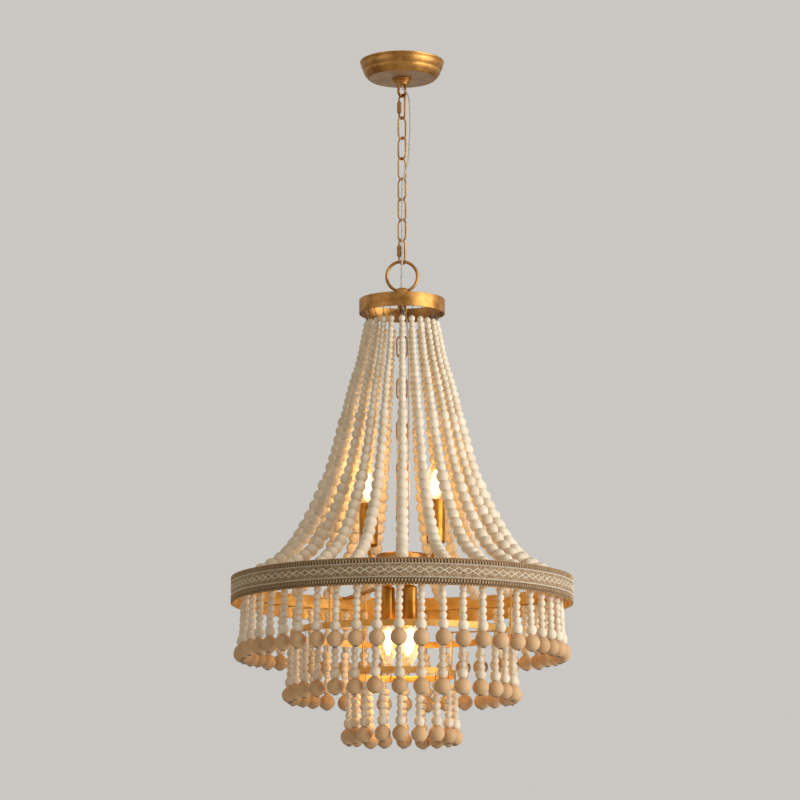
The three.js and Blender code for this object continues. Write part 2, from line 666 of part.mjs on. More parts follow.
// The cord's route, chosen by hand: out of the collar loop, beside and then along the chain, through the
// hanging ring's seat, and down beside the inner chain into the hub
const cordRoute = [
  [0, 0, 3], [0, 0, -22], [0, 0, -44], [0.5, 0, -47.5], [4.5, 0, -53], [10.5, -0.6, -61], [13.4, -1, -74],
  [14.6, -1.2, -98], [14.6, -1.6, -125], [13.8, -2.2, -150], [12.4, -3.6, -172], [10.6, -6, -188],
  [7.4, -8.6, -200], [3.6, -9.6, -213], [1.2, -8.8, -228], [0.3, -7.4, -245], [0.2, -7, -300], [0.2, -7, -350],
  [-0.4, -7, -385], [-0.9, -7, -410], [-1, -7, -425], [-1, -7, -444], [-0.8, -7, -450], [2, -7, -457.5],
  [5.4, -7, -466], [8.8, -7, -484], [10.8, -7, -515], [11.8, -7, -560], [12.2, -7, -640], [12, -7, -740],
  [11, -7, -830], [9.7, -6.95, -880], [9.55, -6.94, -896], [9.55, -6.94, -905],
];
const seatRow = 20;

function cordPoint(row) {
  return new THREE.Vector3(...cordRoute[row]);
}

// Sections stand closer together where the route's points do, at its bends
function cordTube() {
  const points = cordRoute.map((point) => new THREE.Vector3(...point));
  const curve = new THREE.CatmullRomCurve3(points, false, 'centripetal');
  const count = cord.stepsPerPoint * (cordRoute.length - 1);
  const side = new THREE.Vector3(1, 0, 0);
  const sections = Array.from({ length: count + 1 }, (_, i) => {
    const centre = curve.getPoint(i / count);
    const run = curve.getTangent(i / count);
    side.addScaledVector(run, -side.dot(run)).normalize();
    const other = new THREE.Vector3().crossVectors(run, side);
    return arc(0, 0, cord.radius, 0, 360 - 360 / cord.sides, cord.sides - 1)
      .map((corner) => centre.clone().addScaledVector(side, corner.x).addScaledVector(other, corner.y));
  });
  return loft(sections, false);
}

// The assembly, from the ceiling down
add('mounting_strap', mountingStrap(), 'steel');
add('threaded_nipple', threadedNipple(), 'steel');
add('nipple_nut', lockNut(), 'steel');
add('strap_screw_1', screwInStrap(-1), 'steel');
add('strap_screw_2', screwInStrap(1), 'steel');
add('canopy', canopyShell(), 'brass');
add('collar_ring', collarRing(), 'brass');
add('collar_loop', collarLoop(), 'brass');

const upperQuickTop = chainTop + seatGap + quickLink.wire;
add('upper_quick_link', quickLinkBody(frontRightTurn, upperQuickTop), 'brass');
add('upper_quick_link_nut', quickLinkNut(frontRightTurn, upperQuickTop, -1), 'brass');
const linkNames = Array.from({ length: chainLink.count }, (_, i) => `chain_link_${i + 1}`);
chain(linkNames, frontLeftTurn, upperQuickBottom + seatGap, facets.wire, facets.linkBend);
const lowerQuickTop = chainBottom + seatGap + quickLink.wire;
add('lower_quick_link', quickLinkBody(frontLeftTurn, lowerQuickTop), 'brass');
add('lower_quick_link_nut', quickLinkNut(frontLeftTurn, lowerQuickTop, -1), 'brass');

add('hanging_ring', hangingRingWithSeat(), 'brass');
add('crown_band', band(crown.radius, crown.wall, crownTop, crown.height, facets.crown), 'brass');
add('crown_crossbar', crownCrossbar(), 'brass');
const crownPost = crownLoop.post / 2;
add('crown_loop', eyeOnPost(crownLoop, quarterTurn, crownLoopBottom, crossbarTop - seatGap, crownPost), 'brass');
add('drape_tier', drapeTier(), 'cream');

const innerQuickTop = innerQuickBottom + quickInner + quickLink.wire;
add('inner_quick_link', quickLinkBody(0, innerQuickTop), 'brass');
add('inner_quick_link_nut', quickLinkNut(0, innerQuickTop, -1), 'brass');
const innerNames = Array.from({ length: innerChain.count }, (_, i) => `inner_link_${i + 1}`);
chain(innerNames, quarterTurn, innerTopSeat, facets.innerWire, facets.innerBend);
const hubPostEnd = hubTop - hub.wall - hub.rimRadius;
add('hub_loop', eyeOnPost(hubLoop, quarterTurn, hubLoopTop, hubPostEnd, hubLoop.wire / 2), 'brass');
add('hub_cover', hubCover(), 'brass');
add('hub_plate', hubPlate(), 'brass');
armTurns.forEach((turn, i) => add(`arm_${i + 1}`, flatArm(turn), 'brass'));
candleTurns.forEach((turn, i) => {
  add(`candle_holder_${i + 1}`, candleHolder(turn), 'brass');
  add(`candle_bulb_${i + 1}`, candleLamp(turn), 'bulb');
});
socketTurns.forEach((turn, i) => {
  add(`lower_socket_${i + 1}`, lowerSocket(turn), 'brass');
  add(`lower_bulb_${i + 1}`, lowerLamp(turn), 'bulb');
});

add('hoop', hoopUpperStrip(), 'brass');
add('outer_tier', outerTier(), 'cream');
add('ribbon', ribbonTrim(), 'woven');
add('middle_tier', middleTier(), 'cream');
add('bottom_tier', bottomTier(), 'cream');
add('cord', cordTube(), 'cord');

export default group;
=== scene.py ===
"""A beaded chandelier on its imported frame: metal, wooden beads, woven ribbon, lamps and cord."""

import json
import math
import random

import bpy
import numpy as np
from mathutils import Matrix, Vector

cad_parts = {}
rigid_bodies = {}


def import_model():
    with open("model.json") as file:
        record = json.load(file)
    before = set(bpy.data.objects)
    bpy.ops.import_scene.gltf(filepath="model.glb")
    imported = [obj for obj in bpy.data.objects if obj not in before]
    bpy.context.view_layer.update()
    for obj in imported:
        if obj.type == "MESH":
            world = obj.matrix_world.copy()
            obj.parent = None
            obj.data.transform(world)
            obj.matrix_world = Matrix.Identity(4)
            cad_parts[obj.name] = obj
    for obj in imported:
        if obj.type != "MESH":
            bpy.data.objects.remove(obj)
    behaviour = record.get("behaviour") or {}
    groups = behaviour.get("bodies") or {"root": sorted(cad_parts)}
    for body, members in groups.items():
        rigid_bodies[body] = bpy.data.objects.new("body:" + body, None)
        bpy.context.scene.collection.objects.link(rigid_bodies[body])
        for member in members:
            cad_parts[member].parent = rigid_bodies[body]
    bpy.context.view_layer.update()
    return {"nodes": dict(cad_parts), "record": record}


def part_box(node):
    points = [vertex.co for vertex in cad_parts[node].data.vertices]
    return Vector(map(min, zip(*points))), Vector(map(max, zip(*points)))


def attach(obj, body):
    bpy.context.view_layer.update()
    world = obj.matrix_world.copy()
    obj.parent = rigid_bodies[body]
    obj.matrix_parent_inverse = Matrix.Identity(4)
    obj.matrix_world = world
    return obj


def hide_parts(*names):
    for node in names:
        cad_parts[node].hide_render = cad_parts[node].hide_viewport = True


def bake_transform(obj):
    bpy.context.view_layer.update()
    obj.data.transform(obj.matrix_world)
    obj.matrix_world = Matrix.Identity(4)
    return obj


bl_info = {
    "name": "Beaded chandelier",
    "version": (1, 0, 0),
    "blender": (4, 5, 0),
    "location": "View3D > Sidebar > Chandelier",
    "description": "Makes the pieces of a beaded chandelier round its frame",
    "category": "Add Mesh",
}

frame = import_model()
MM = 0.001


def low(node):
    return float(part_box(node)[0][2])


def high(node):
    return float(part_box(node)[1][2])


def middle(node):
    a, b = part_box(node)
    return tuple(float(a[i] + b[i]) / 2 for i in range(3))


# Heights in metres of the parts that others hang from
HOOP_TOP = high("hoop")
CROWN_TOP = high("crown_band")
CROWN_LOW = low("crown_band")
HUB_LOW = low("hub_plate")
MIDDLE_TOP = HOOP_TOP - 92.2 * MM
BOTTOM_TOP = HOOP_TOP - 163.0 * MM
SEAM = low("hoop")

# Wall of the crown and the rings, heights of the wires' holes, and widths and wires of the links
WALL = 2 * MM
DRAPE_HOLE = HOOP_TOP - 5 * MM
STRAND_HOLE = SEAM - 2.6 * MM
QUICK_WIDE, QUICK_WIRE = 18 * MM, 3.5 * MM
LINK_WIDE, LINK_WIRE = 22 * MM, 3.2 * MM

LINKS = [f"chain_link_{i}" for i in range(1, 7)]
INNER_LINKS = [f"inner_link_{i}" for i in range(1, 11)]

# Where parts stand round the axis, in degrees from the front
ARM_TURNS = (-160, -40, 80)
TAB_TURNS = (-168, -48, 72)
CANDLE_TURNS = (-110, 70)
SOCKET_TURNS = (-83, 37, 157)


def length(name, default, description):
    return bpy.props.FloatProperty(name=name, description=description, default=default, unit="LENGTH",
                                   precision=4, min=0.0)


def colour(name, default, description):
    return bpy.props.FloatVectorProperty(name=name, description=description, default=default,
                                         subtype="COLOR", size=3, min=0.0, max=1.0)


def number(name, default, description):
    return bpy.props.FloatProperty(name=name, description=description, default=default)


class BeadSizes(bpy.types.PropertyGroup):
    small: length("Small bead", 0.0131, "Width of the small beads on the hanging strands")
    small_pitch: length("Small pitch", 0.012, "Height of one small bead")
    medium: length("Medium bead", 0.0186, "Width of the medium beads")
    medium_pitch: length("Medium pitch", 0.0172, "Height of one medium bead")
    large: length("Large bead", 0.0284, "Width of the large bead at the foot of a strand")
    drape_tiny: length("Drape tiny", 0.0114, "Width of the beads at the drape's top")
    drape_small: length("Drape small", 0.0134, "Width of the drape's upper beads")
    drape_medium: length("Drape medium", 0.0174, "Width of the drape's middle beads")
    drape_large: length("Drape large", 0.0219, "Width of the drape's lower beads")
    hole: length("Bead hole", 0.0021, "Width of the hole through a bead")
    wire: length("Wire", 0.001, "Thickness of the strands' wire")


class MetalSizes(bpy.types.PropertyGroup):
    canopy_radius: length("Canopy radius", 0.076, "Outer radius of the canopy's lip")
    disc_radius: length("Disc radius", 0.0593, "Radius of the canopy's flat disc")
    canopy_height: length("Canopy height", 0.032, "Height of the canopy")
    crown_radius: length("Crown radius", 0.0766, "Outer radius of the crown band")
    hub_radius: length("Hub radius", 0.0455, "Outer radius of the hub")
    hub_height: length("Hub height", 0.044, "Height of the hub")
    hoop_radius: length("Hoop radius", 0.2984, "Outer radius of the hoop's metal strips")
    hoop_wall: length("Hoop wall", 0.002, "Thickness of the hoop's strips")
    middle_radius: length("Middle ring radius", 0.1965, "Outer radius of the middle ring")
    bottom_radius: length("Bottom ring radius", 0.0945, "Outer radius of the bottom ring")
    ring_height: length("Ring height", 0.0114, "Height of the middle and bottom rings")


class RibbonSizes(bpy.types.PropertyGroup):
    thickness: length("Ribbon thickness", 0.0013, "Thickness of the ribbon's cloth")
    diamond_pitch: length("Diamond pitch", 0.0167, "Length of one diamond of the ribbon")
    diamond_height: length("Diamond height", 0.0104, "Height of the diamond row")
    stitches: bpy.props.IntProperty(name="Stitches", description="Edge stitches for each diamond", default=3)


class CordSizes(bpy.types.PropertyGroup):
    radius: length("Cord radius", 0.0019, "Radius of the lamp cord")


class Finishes(bpy.types.PropertyGroup):
    brass_light: colour("Brass light", (0.60, 0.315, 0.095), "Brushed tone of the antique brass")
    brass_dark: colour("Brass dark", (0.25, 0.105, 0.022), "Dark tone of the antique brass")
    pale_wood: colour("Pale wood", (0.87, 0.785, 0.65), "Whitewashed beads")
    pale_grain: colour("Pale grain", (0.66, 0.52, 0.36), "Grain of the whitewashed beads")
    raw_wood: colour("Raw wood", (0.69, 0.465, 0.265), "Large beads of raw wood")
    raw_grain: colour("Raw grain", (0.44, 0.275, 0.14), "Grain of the large beads")
    ribbon: colour("Ribbon", (0.13, 0.078, 0.042), "Dark threads of the ribbon's weave")
    ribbon_light: colour("Ribbon light", (0.56, 0.405, 0.25), "Light threads of the ribbon")
    thread: colour("Thread", (0.94, 0.87, 0.73), "Off-white embroidery")
    cord: colour("Cord", (0.60, 0.58, 0.54), "The cord's clear sheath")
    glow: colour("Glow", (1.0, 0.56, 0.145), "Light of the lamps")


class StageSettings(bpy.types.PropertyGroup):
    lens: number("Lens", 145.5, "Focal length of the camera in millimetres")
    distance: length("Distance", 5.654, "Distance of the camera in front of the lamp's axis")
    drop: length("Drop", 0.693, "Height of the hoop's top above the camera")
    tilt: bpy.props.FloatProperty(name="Tilt", description="How far the camera looks up",
                                  default=math.radians(10.15), subtype="ANGLE")
    world: number("World", 0.39, "Strength of the soft light all round")
    key: number("Key", 235.0, "Power of the large soft lamp at the right")
    fill: number("Fill", 13.0, "Power of the soft lamp at the left")
    candle: number("Candle", 0.62, "Power of each upper lamp")
    lower: number("Lower", 0.62, "Power of each lower lamp")
    backdrop: colour("Backdrop", (0.592, 0.574, 0.543), "Plain pale backdrop")
    floor: colour("Floor", (0.62, 0.61, 0.59), "Plain pale floor")


GROUPS = {"chandelier_beads": BeadSizes, "chandelier_metal": MetalSizes, "chandelier_ribbon": RibbonSizes,
          "chandelier_cord": CordSizes, "chandelier_finish": Finishes, "chandelier_stage": StageSettings}


def sizes(name):
    return getattr(bpy.context.scene, "chandelier_" + name)


class Value:
    """A shader socket that can be used in sums: each step adds a Math node."""

    def __init__(self, shade, socket):
        self.shade = shade
        self.socket = socket

    def step(self, operation, *others, clamp=False):
        return self.shade.node("ShaderNodeMath", {"operation": operation, "use_clamp": clamp},
                               dict(enumerate((self,) + others)))

    def __add__(self, other):
        return self.step("ADD", other)

    def __mul__(self, other):
        return self.step("MULTIPLY", other)

    def __sub__(self, other):
        return self.step("SUBTRACT", other)

    def __rsub__(self, other):
        return self.shade.node("ShaderNodeMath", {"operation": "SUBTRACT"}, {0: other, 1: self})

    def __pow__(self, other):
        return self.step("POWER", other)

    __radd__ = __add__
    __rmul__ = __mul__

    def sine(self):
        return self.step("SINE")

    def size(self):
        return self.step("ABSOLUTE")

    def most(self, other):
        return self.step("MAXIMUM", other)

    def limited(self):
        return self.step("ADD", 0.0, clamp=True)

    def between(self, start, end):
        return self.shade.node("ShaderNodeMapRange", {"interpolation_type": "SMOOTHSTEP"},
                               {0: self, 1: start, 2: end, 3: 0.0, 4: 1.0})


class Shade:
    """The nodes of a new material, or of a new world where no tint is given."""

    def __init__(self, name, tint=None):
        if tint:
            self.owner = bpy.data.materials.new(name)
            self.owner.diffuse_color = (*tint, 1.0)
        else:
            self.owner = bpy.data.worlds.new(name)
        self.owner.use_nodes = True
        self.tree = self.owner.node_tree
        self.tree.nodes.clear()
        self.end = self.tree.nodes.new("ShaderNodeOutputMaterial" if tint else "ShaderNodeOutputWorld")

    def node(self, kind, settings=None, inputs=None, output=0):
        made = self.tree.nodes.new(kind)
        for key, value in (settings or {}).items():
            setattr(made, key, value)
        for key, value in (inputs or {}).items():
            if isinstance(value, Value):
                self.tree.links.new(value.socket, made.inputs[key])
            else:
                made.inputs[key].default_value = value
        return Value(self, made.outputs[output])

    def mix(self, factor, first, second, blend="MIX"):
        return self.node("ShaderNodeMix", {"data_type": "RGBA", "blend_type": blend},
                         {0: factor, 6: self.tint(first), 7: self.tint(second)}, output=2)

    @staticmethod
    def tint(value):
        return value if isinstance(value, Value) else (*tuple(value)[:3], 1.0)

    def place(self):
        return self.node("ShaderNodeTexCoord", output="Object")

    def attribute(self, name, output):
        return self.node("ShaderNodeAttribute", {"attribute_type": "GEOMETRY", "attribute_name": name},
                         output=output)

    def stretched(self, vector, scale):
        return self.node("ShaderNodeVectorMath", {"operation": "MULTIPLY"}, {0: vector, 1: scale})

    def noise(self, vector, scale, detail=3.0, rough=0.55):
        return self.node("ShaderNodeTexNoise", {}, {"Vector": vector, "Scale": scale, "Detail": detail,
                                                    "Roughness": rough})

    def bump(self, height, strength, distance):
        return self.node("ShaderNodeBump", {}, {"Height": height, "Strength": strength, "Distance": distance})

    def surface(self, inputs):
        return self.finish(self.node("ShaderNodeBsdfPrincipled", {}, inputs))

    def finish(self, shader):
        self.tree.links.new(shader.socket, self.end.inputs["Surface"])
        return self.owner


def brass_material(name, light, dark, roughness, metallic=1.0):
    """Antique brass: rubbed light and dark patches, fine brush marks and a soft gloss."""
    shade = Shade(name, light)
    place = shade.place()
    patches = shade.noise(place, 38.0, 5.0, 0.62)
    marks = shade.noise(shade.stretched(place, (420.0, 420.0, 2600.0)), 1.0, 2.0, 0.5)
    specks = shade.noise(place, 900.0, 2.0, 0.6)
    blend = (patches * 0.62 + marks * 0.25 + specks * 0.13).between(0.33, 0.66)
    gloss = roughness + patches * 0.16 + marks * 0.08 - 0.1
    return shade.surface({
        "Base Color": shade.mix(blend, dark, light),
        "Metallic": metallic,
        "Roughness": gloss,
        "Normal": shade.bump(marks * 0.5 + specks * 0.5, 0.16, 0.0004),
    })


def steel_material():
    """Zinc plated steel with faint spangles."""
    shade = Shade("zinc_plate", (0.6, 0.6, 0.59))
    place = shade.place()
    spangle = shade.noise(place, 160.0, 3.0)
    return shade.surface({
        "Base Color": shade.mix(spangle, (0.42, 0.42, 0.40), (0.66, 0.66, 0.65)),
        "Metallic": 1.0,
        "Roughness": 0.3 + spangle * 0.2,
        "Normal": shade.bump(spangle, 0.1, 0.0003),
    })


def wire_material():
    """Dark annealed wire."""
    shade = Shade("dark_wire", (0.12, 0.11, 0.1))
    scale = shade.noise(shade.place(), 700.0, 2.0)
    return shade.surface({
        "Base Color": shade.mix(scale, (0.05, 0.045, 0.04), (0.24, 0.22, 0.2)),
        "Metallic": 0.8,
        "Roughness": 0.42 + scale * 0.2,
    })


def wood_material(name, ground, grain, contrast, dim):
    """Turned beads: fine pores along the grain, growth rings, and a tone of its own for each bead."""
    shade = Shade(name, ground)
    local = shade.attribute("grain", "Vector")
    tone = shade.attribute("tone", "Fac")
    bent = shade.node("ShaderNodeVectorMath", {"operation": "ADD"},
                      {0: local, 1: shade.stretched(shade.noise(local, 0.09, 2.0), (2.2, 2.2, 2.2))})
    across = shade.node("ShaderNodeSeparateXYZ", {}, {0: bent}, output="X")
    rings = (across * 1.9).sine() * 0.5 + 0.5
    pores = shade.noise(shade.stretched(local, (2.6, 2.6, 0.32)), 1.0, 4.0, 0.65)
    dust = shade.noise(local, 1.6, 3.0, 0.6)
    streak = pores.between(0.44, 0.72) * 0.6 + rings * pores * 0.5 + dust.between(0.5, 0.8) * 0.25
    base = shade.mix((streak * contrast).limited(), ground, grain)
    worn = shade.mix(1.0, base, shade.mix(tone, dim, (1.0, 1.0, 1.0)), "MULTIPLY")
    return shade.surface({
        "Base Color": worn,
        "Roughness": 0.62 + pores * 0.25,
        "Normal": shade.bump(pores * 0.7 + dust * 0.3, 0.22, 0.0004),
        "Specular IOR Level": 0.3,
    })


def ribbon_material(ground, light):
    """The ribbon's cloth: a coarse weave of brown and tan threads, with the cloth in the edge rows darkened as
    painted shade between the raised stitches.
    """
    shade = Shade("ribbon_weave", ground)
    around = shade.attribute("around", "Fac")
    up = shade.attribute("up", "Fac")
    warp_pitch, weft_pitch = 2.9, 2.3
    warp = (around * (2 * math.pi / warp_pitch)).sine()
    weft = (up * (2 * math.pi / weft_pitch)).sine()
    mottle = shade.noise(shade.place(), 360.0, 2.0, 0.6)
    coarse = shade.noise(shade.place(), 190.0, 2.0, 0.5)
    thread = (warp * weft * 0.3 + mottle * 1.1 + coarse * 0.4).between(0.62, 0.88)
    # Painted shade: in the edge rows the cloth between the stitches is mixed towards half its own tone
    edge = (up - 0.9).size().between(12.0, 12.8)
    dark = tuple(0.5 * v for v in ground)
    middle_tone = shade.mix(thread, ground, light)
    return shade.surface({
        "Base Color": shade.mix(edge, middle_tone, shade.mix(thread, dark, ground)),
        "Roughness": 0.9,
        "Specular IOR Level": 0.15,
        "Sheen Weight": 0.5,
        "Sheen Roughness": 0.4,
        "Sheen Tint": (1.0, 0.86, 0.68, 1.0),
        "Normal": shade.bump(warp * weft * 0.4 + mottle, 0.6, 0.0009),
    })


def thread_material(name, tint, shadow):
    """Plied cotton thread."""
    shade = Shade(name, tint)
    place = shade.place()
    ply = shade.noise(place, 1500.0, 2.0, 0.6)
    soil = shade.noise(place, 60.0, 3.0)
    tone = shade.attribute("tone", "Fac")
    base = shade.mix(ply * 0.6 + soil * 0.3, tint, shadow)
    return shade.surface({
        "Base Color": shade.mix(tone, base, shade.mix(0.6, base, shadow)),
        "Roughness": 0.88,
        "Specular IOR Level": 0.2,
        "Normal": shade.bump(ply, 0.4, 0.0003),
    })


def cord_material(tint):
    """Clear plastic over two plied conductors: a milky sheath with a faint twist."""
    shade = Shade("clear_cord", tint)
    around = shade.attribute("around", "Fac")
    up = shade.attribute("up", "Fac")
    lay = 14.0
    twist = ((up * (2 * math.pi / lay)) + around).sine() * 0.5 + 0.5
    haze = shade.noise(shade.place(), 300.0, 3.0)
    return shade.surface({
        "Base Color": shade.mix((twist * 0.7 + haze * 0.3).limited(), (0.50, 0.47, 0.42), tint),
        "Roughness": 0.22 + haze * 0.16,
        "Coat Weight": 0.5,
        "Alpha": 0.42 + twist * 0.2,
        "Normal": shade.bump(twist, 0.25, 0.0006),
    })


def glass_material():
    """Clear lamp glass: see-through, with the gloss of its edges."""
    shade = Shade("lamp_glass", (1.0, 0.95, 0.85))
    smears = shade.noise(shade.place(), 60.0, 3.0)
    gloss = shade.node("ShaderNodeBsdfPrincipled", {}, {
        "Base Color": shade.mix(smears, (1.0, 0.9, 0.72), (1.0, 0.97, 0.9)),
        "Roughness": 0.03 + smears * 0.04,
        "Specular IOR Level": 0.5,
        "Emission Color": (1.0, 0.66, 0.28, 1.0),
        "Emission Strength": 0.12,
    })
    clear = shade.node("ShaderNodeBsdfTransparent", {}, {"Color": (1.0, 0.985, 0.95, 1.0)})
    edge = shade.node("ShaderNodeLayerWeight", {}, {"Blend": 0.38}, output="Facing")
    factor = (0.02 + edge ** 3.0 * 0.42).limited()
    return shade.finish(shade.node("ShaderNodeMixShader", {}, {0: factor, 1: clear, 2: gloss}))


def glow_material(name, tint, strength):
    """A glowing filament."""
    shade = Shade(name, tint)
    grain = shade.noise(shade.place(), 600.0, 2.0)
    return shade.surface({
        "Base Color": (*tint, 1.0),
        "Roughness": 0.5,
        "Emission Color": shade.mix(grain, tint, (1.0, 0.92, 0.72)),
        "Emission Strength": strength,
    })


def halo_material(strength):
    """The bright air round the filaments, fading out at its edge."""
    shade = Shade("lamp_halo", (1.0, 0.85, 0.55))
    edge = shade.node("ShaderNodeLayerWeight", {}, {"Blend": 0.5}, output="Facing")
    core = (1.0 - edge).limited() ** 1.7
    light = shade.node("ShaderNodeBsdfPrincipled", {}, {
        "Base Color": (0.0, 0.0, 0.0, 1.0), "Specular IOR Level": 0.0,
        "Emission Color": shade.mix(core, (1.0, 0.5, 0.11), (1.0, 0.87, 0.58)), "Emission Strength": strength})
    clear = shade.node("ShaderNodeBsdfTransparent", {}, {"Color": (1.0, 1.0, 1.0, 1.0)})
    return shade.finish(shade.node("ShaderNodeMixShader", {}, {0: (core * 0.9).limited(), 1: clear, 2: light}))


MATERIALS = {}


def make_materials():
    tones = sizes("finish")
    tint = {key: tuple(getattr(tones, key)) for key in Finishes.__annotations__}
    MATERIALS.update({
        "brass": brass_material("antique_brass", tint["brass_light"], tint["brass_dark"], 0.41),
        "brass_disc": brass_material("antique_brass_disc", (0.62, 0.44, 0.29), (0.44, 0.30, 0.19), 0.5),
        # Painted lamp light: a lighter, less metallic copy of the antique brass stands in for the lamps' glow on
        # the hoop, rings and rods
        "gilt": brass_material("gilt_brass", (0.86, 0.50, 0.13), (0.58, 0.29, 0.06), 0.4, 0.6),
        "amber": brass_material("amber_brass", (0.56, 0.275, 0.045), (0.30, 0.13, 0.018), 0.3),
        "steel": steel_material(),
        "wire": wire_material(),
        "pale": wood_material("pale_beads", tint["pale_wood"], tint["pale_grain"], 0.55, (0.86, 0.84, 0.80)),
        "raw": wood_material("raw_beads", tint["raw_wood"], tint["raw_grain"], 0.6, (0.84, 0.80, 0.76)),
        "ribbon": ribbon_material(tint["ribbon"], tint["ribbon_light"]),
        "thread": thread_material("pale_thread", tint["thread"], (0.45, 0.38, 0.29)),
        "stitch": thread_material("tan_thread", (0.62, 0.44, 0.27), (0.30, 0.19, 0.10)),
        "cord": cord_material(tint["cord"]),
        "glass": glass_material(),
        "filament": glow_material("filament", (1.0, 0.72, 0.34), 16.0),
        "halo": halo_material(2.6),
    })


class Form:
    """Points and faces gathered from many small shapes, made into one mesh."""

    def __init__(self):
        self.points = []
        self.faces = []
        self.values = {}
        self.count = 0

    def add(self, solid, transform=None, **values):
        points, faces = solid
        points = np.asarray(points, float)
        if transform is not None:
            matrix = np.array(transform)
            points = points @ matrix[:3, :3].T + matrix[:3, 3]
        self.points.append(points)
        self.faces += [np.asarray(block, int) + self.count for block in faces if len(block)]
        for name, value in values.items():
            shape = (len(points), 3) if name == "grain" else len(points)
            spread = np.broadcast_to(np.asarray(value, float), shape)
            self.values.setdefault(name, []).append(spread)
        self.count += len(points)
        return self

    def piece(self, name, finish, body, slot, replaces=(), sharp=None):
        mesh = bpy.data.meshes.new(name)
        points = np.concatenate(self.points)
        mesh.vertices.add(len(points))
        mesh.vertices.foreach_set("co", points.astype(np.float32).ravel())
        totals = np.concatenate([np.full(len(b), b.shape[1]) for b in self.faces])
        corners = np.concatenate([b.ravel() for b in self.faces])
        starts = np.concatenate([[0], np.cumsum(totals)[:-1]])
        mesh.loops.add(len(corners))
        mesh.loops.foreach_set("vertex_index", corners.astype(np.int32))
        mesh.polygons.add(len(totals))
        mesh.polygons.foreach_set("loop_start", starts.astype(np.int32))
        mesh.polygons.foreach_set("use_smooth", np.ones(len(totals), bool))
        mesh.update(calc_edges=True)
        for key, blocks in self.values.items():
            data = np.concatenate(blocks).astype(np.float32)
            kind, field = ("FLOAT_VECTOR", "vector") if key == "grain" else ("FLOAT", "value")
            mesh.attributes.new(key, kind, "POINT").data.foreach_set(field, data.ravel())
        if sharp:
            mesh.set_sharp_from_angle(angle=math.radians(sharp))
        mesh.materials.append(MATERIALS[finish])
        made = bpy.data.objects.new(name, mesh)
        bpy.context.scene.collection.objects.link(made)
        if body:
            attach(made, body)
        if replaces:
            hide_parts(*replaces)
        return made


def in_mm(rows, height=0.0):
    """An outline written in millimetres, set at a height."""
    return [(a * MM, height + b * MM) for a, b in rows]


def widened(rows):
    """An outline whose radii are in millimetres and whose heights are in metres."""
    return [(a * MM, b) for a, b in rows]


def turned(profile, segments, closed=True):
    """A profile of (radius, height) pairs turned about Z; its ends lie on the axis, or it closes on itself."""
    angles = np.linspace(0, 2 * math.pi, segments, endpoint=False)
    wheel = np.stack([np.cos(angles), np.sin(angles)], 1)
    points, rows = [], []
    on_axis = 1e-9
    for radius, height in profile:
        rows.append((len(points), radius > on_axis))
        if radius > on_axis:
            points += [(radius * c, radius * s, height) for c, s in wheel]
        else:
            points.append((0.0, 0.0, height))
    quads, tris = [], []
    pairs = list(zip(rows, rows[1:]))
    if closed and profile[0][0] > on_axis:
        pairs.append((rows[-1], rows[0]))
    step = np.arange(segments)
    after = (step + 1) % segments
    for (a, round_a), (b, round_b) in pairs:
        if round_a and round_b:
            quads.append(np.stack([a + step, a + after, b + after, b + step], 1))
        elif round_a:
            tris.append(np.stack([a + step, a + after, np.full(segments, b)], 1))
        elif round_b:
            tris.append(np.stack([np.full(segments, a), b + after, b + step], 1))
    faces = [np.concatenate(quads)] if quads else []
    if tris:
        faces.append(np.concatenate(tris))
    return outward(np.array(points), faces)


def outward(points, faces):
    """Turns all faces round if the shape's volume comes out negative."""
    volume = 0.0
    for block in faces:
        first = points[block[:, 0]]
        for k in range(1, block.shape[1] - 1):
            crossed = np.cross(points[block[:, k]], points[block[:, k + 1]])
            volume += np.einsum("ij,ij->i", first, crossed).sum()
    if volume < 0:
        faces = [block[:, ::-1] for block in faces]
    return points, faces


def rounded(profile, radius, steps=4, closed=True):
    """The profile with its corners eased by an arc of about that radius."""
    count = len(profile)
    result = []
    for i in range(count):
        corner = np.array(profile[i], float)
        if not closed and i in (0, count - 1):
            result.append(tuple(corner))
            continue
        before = np.array(profile[i - 1], float) - corner
        after = np.array(profile[(i + 1) % count], float) - corner
        most = 0.45
        reach = min(radius, np.linalg.norm(before) * most, np.linalg.norm(after) * most)
        start = corner + before / np.linalg.norm(before) * reach
        end = corner + after / np.linalg.norm(after) * reach
        for k in range(steps + 1):
            t = k / steps
            result.append(tuple((1 - t) ** 2 * start + 2 * t * (1 - t) * corner + t * t * end))
    return result


def band(radius, wall, top, bottom, segments, ease):
    """A flat strip bent round into a ring, with eased edges."""
    inner = radius - wall
    return turned(rounded([(inner, top), (radius, top), (radius, bottom), (inner, bottom)], ease, 3), segments)


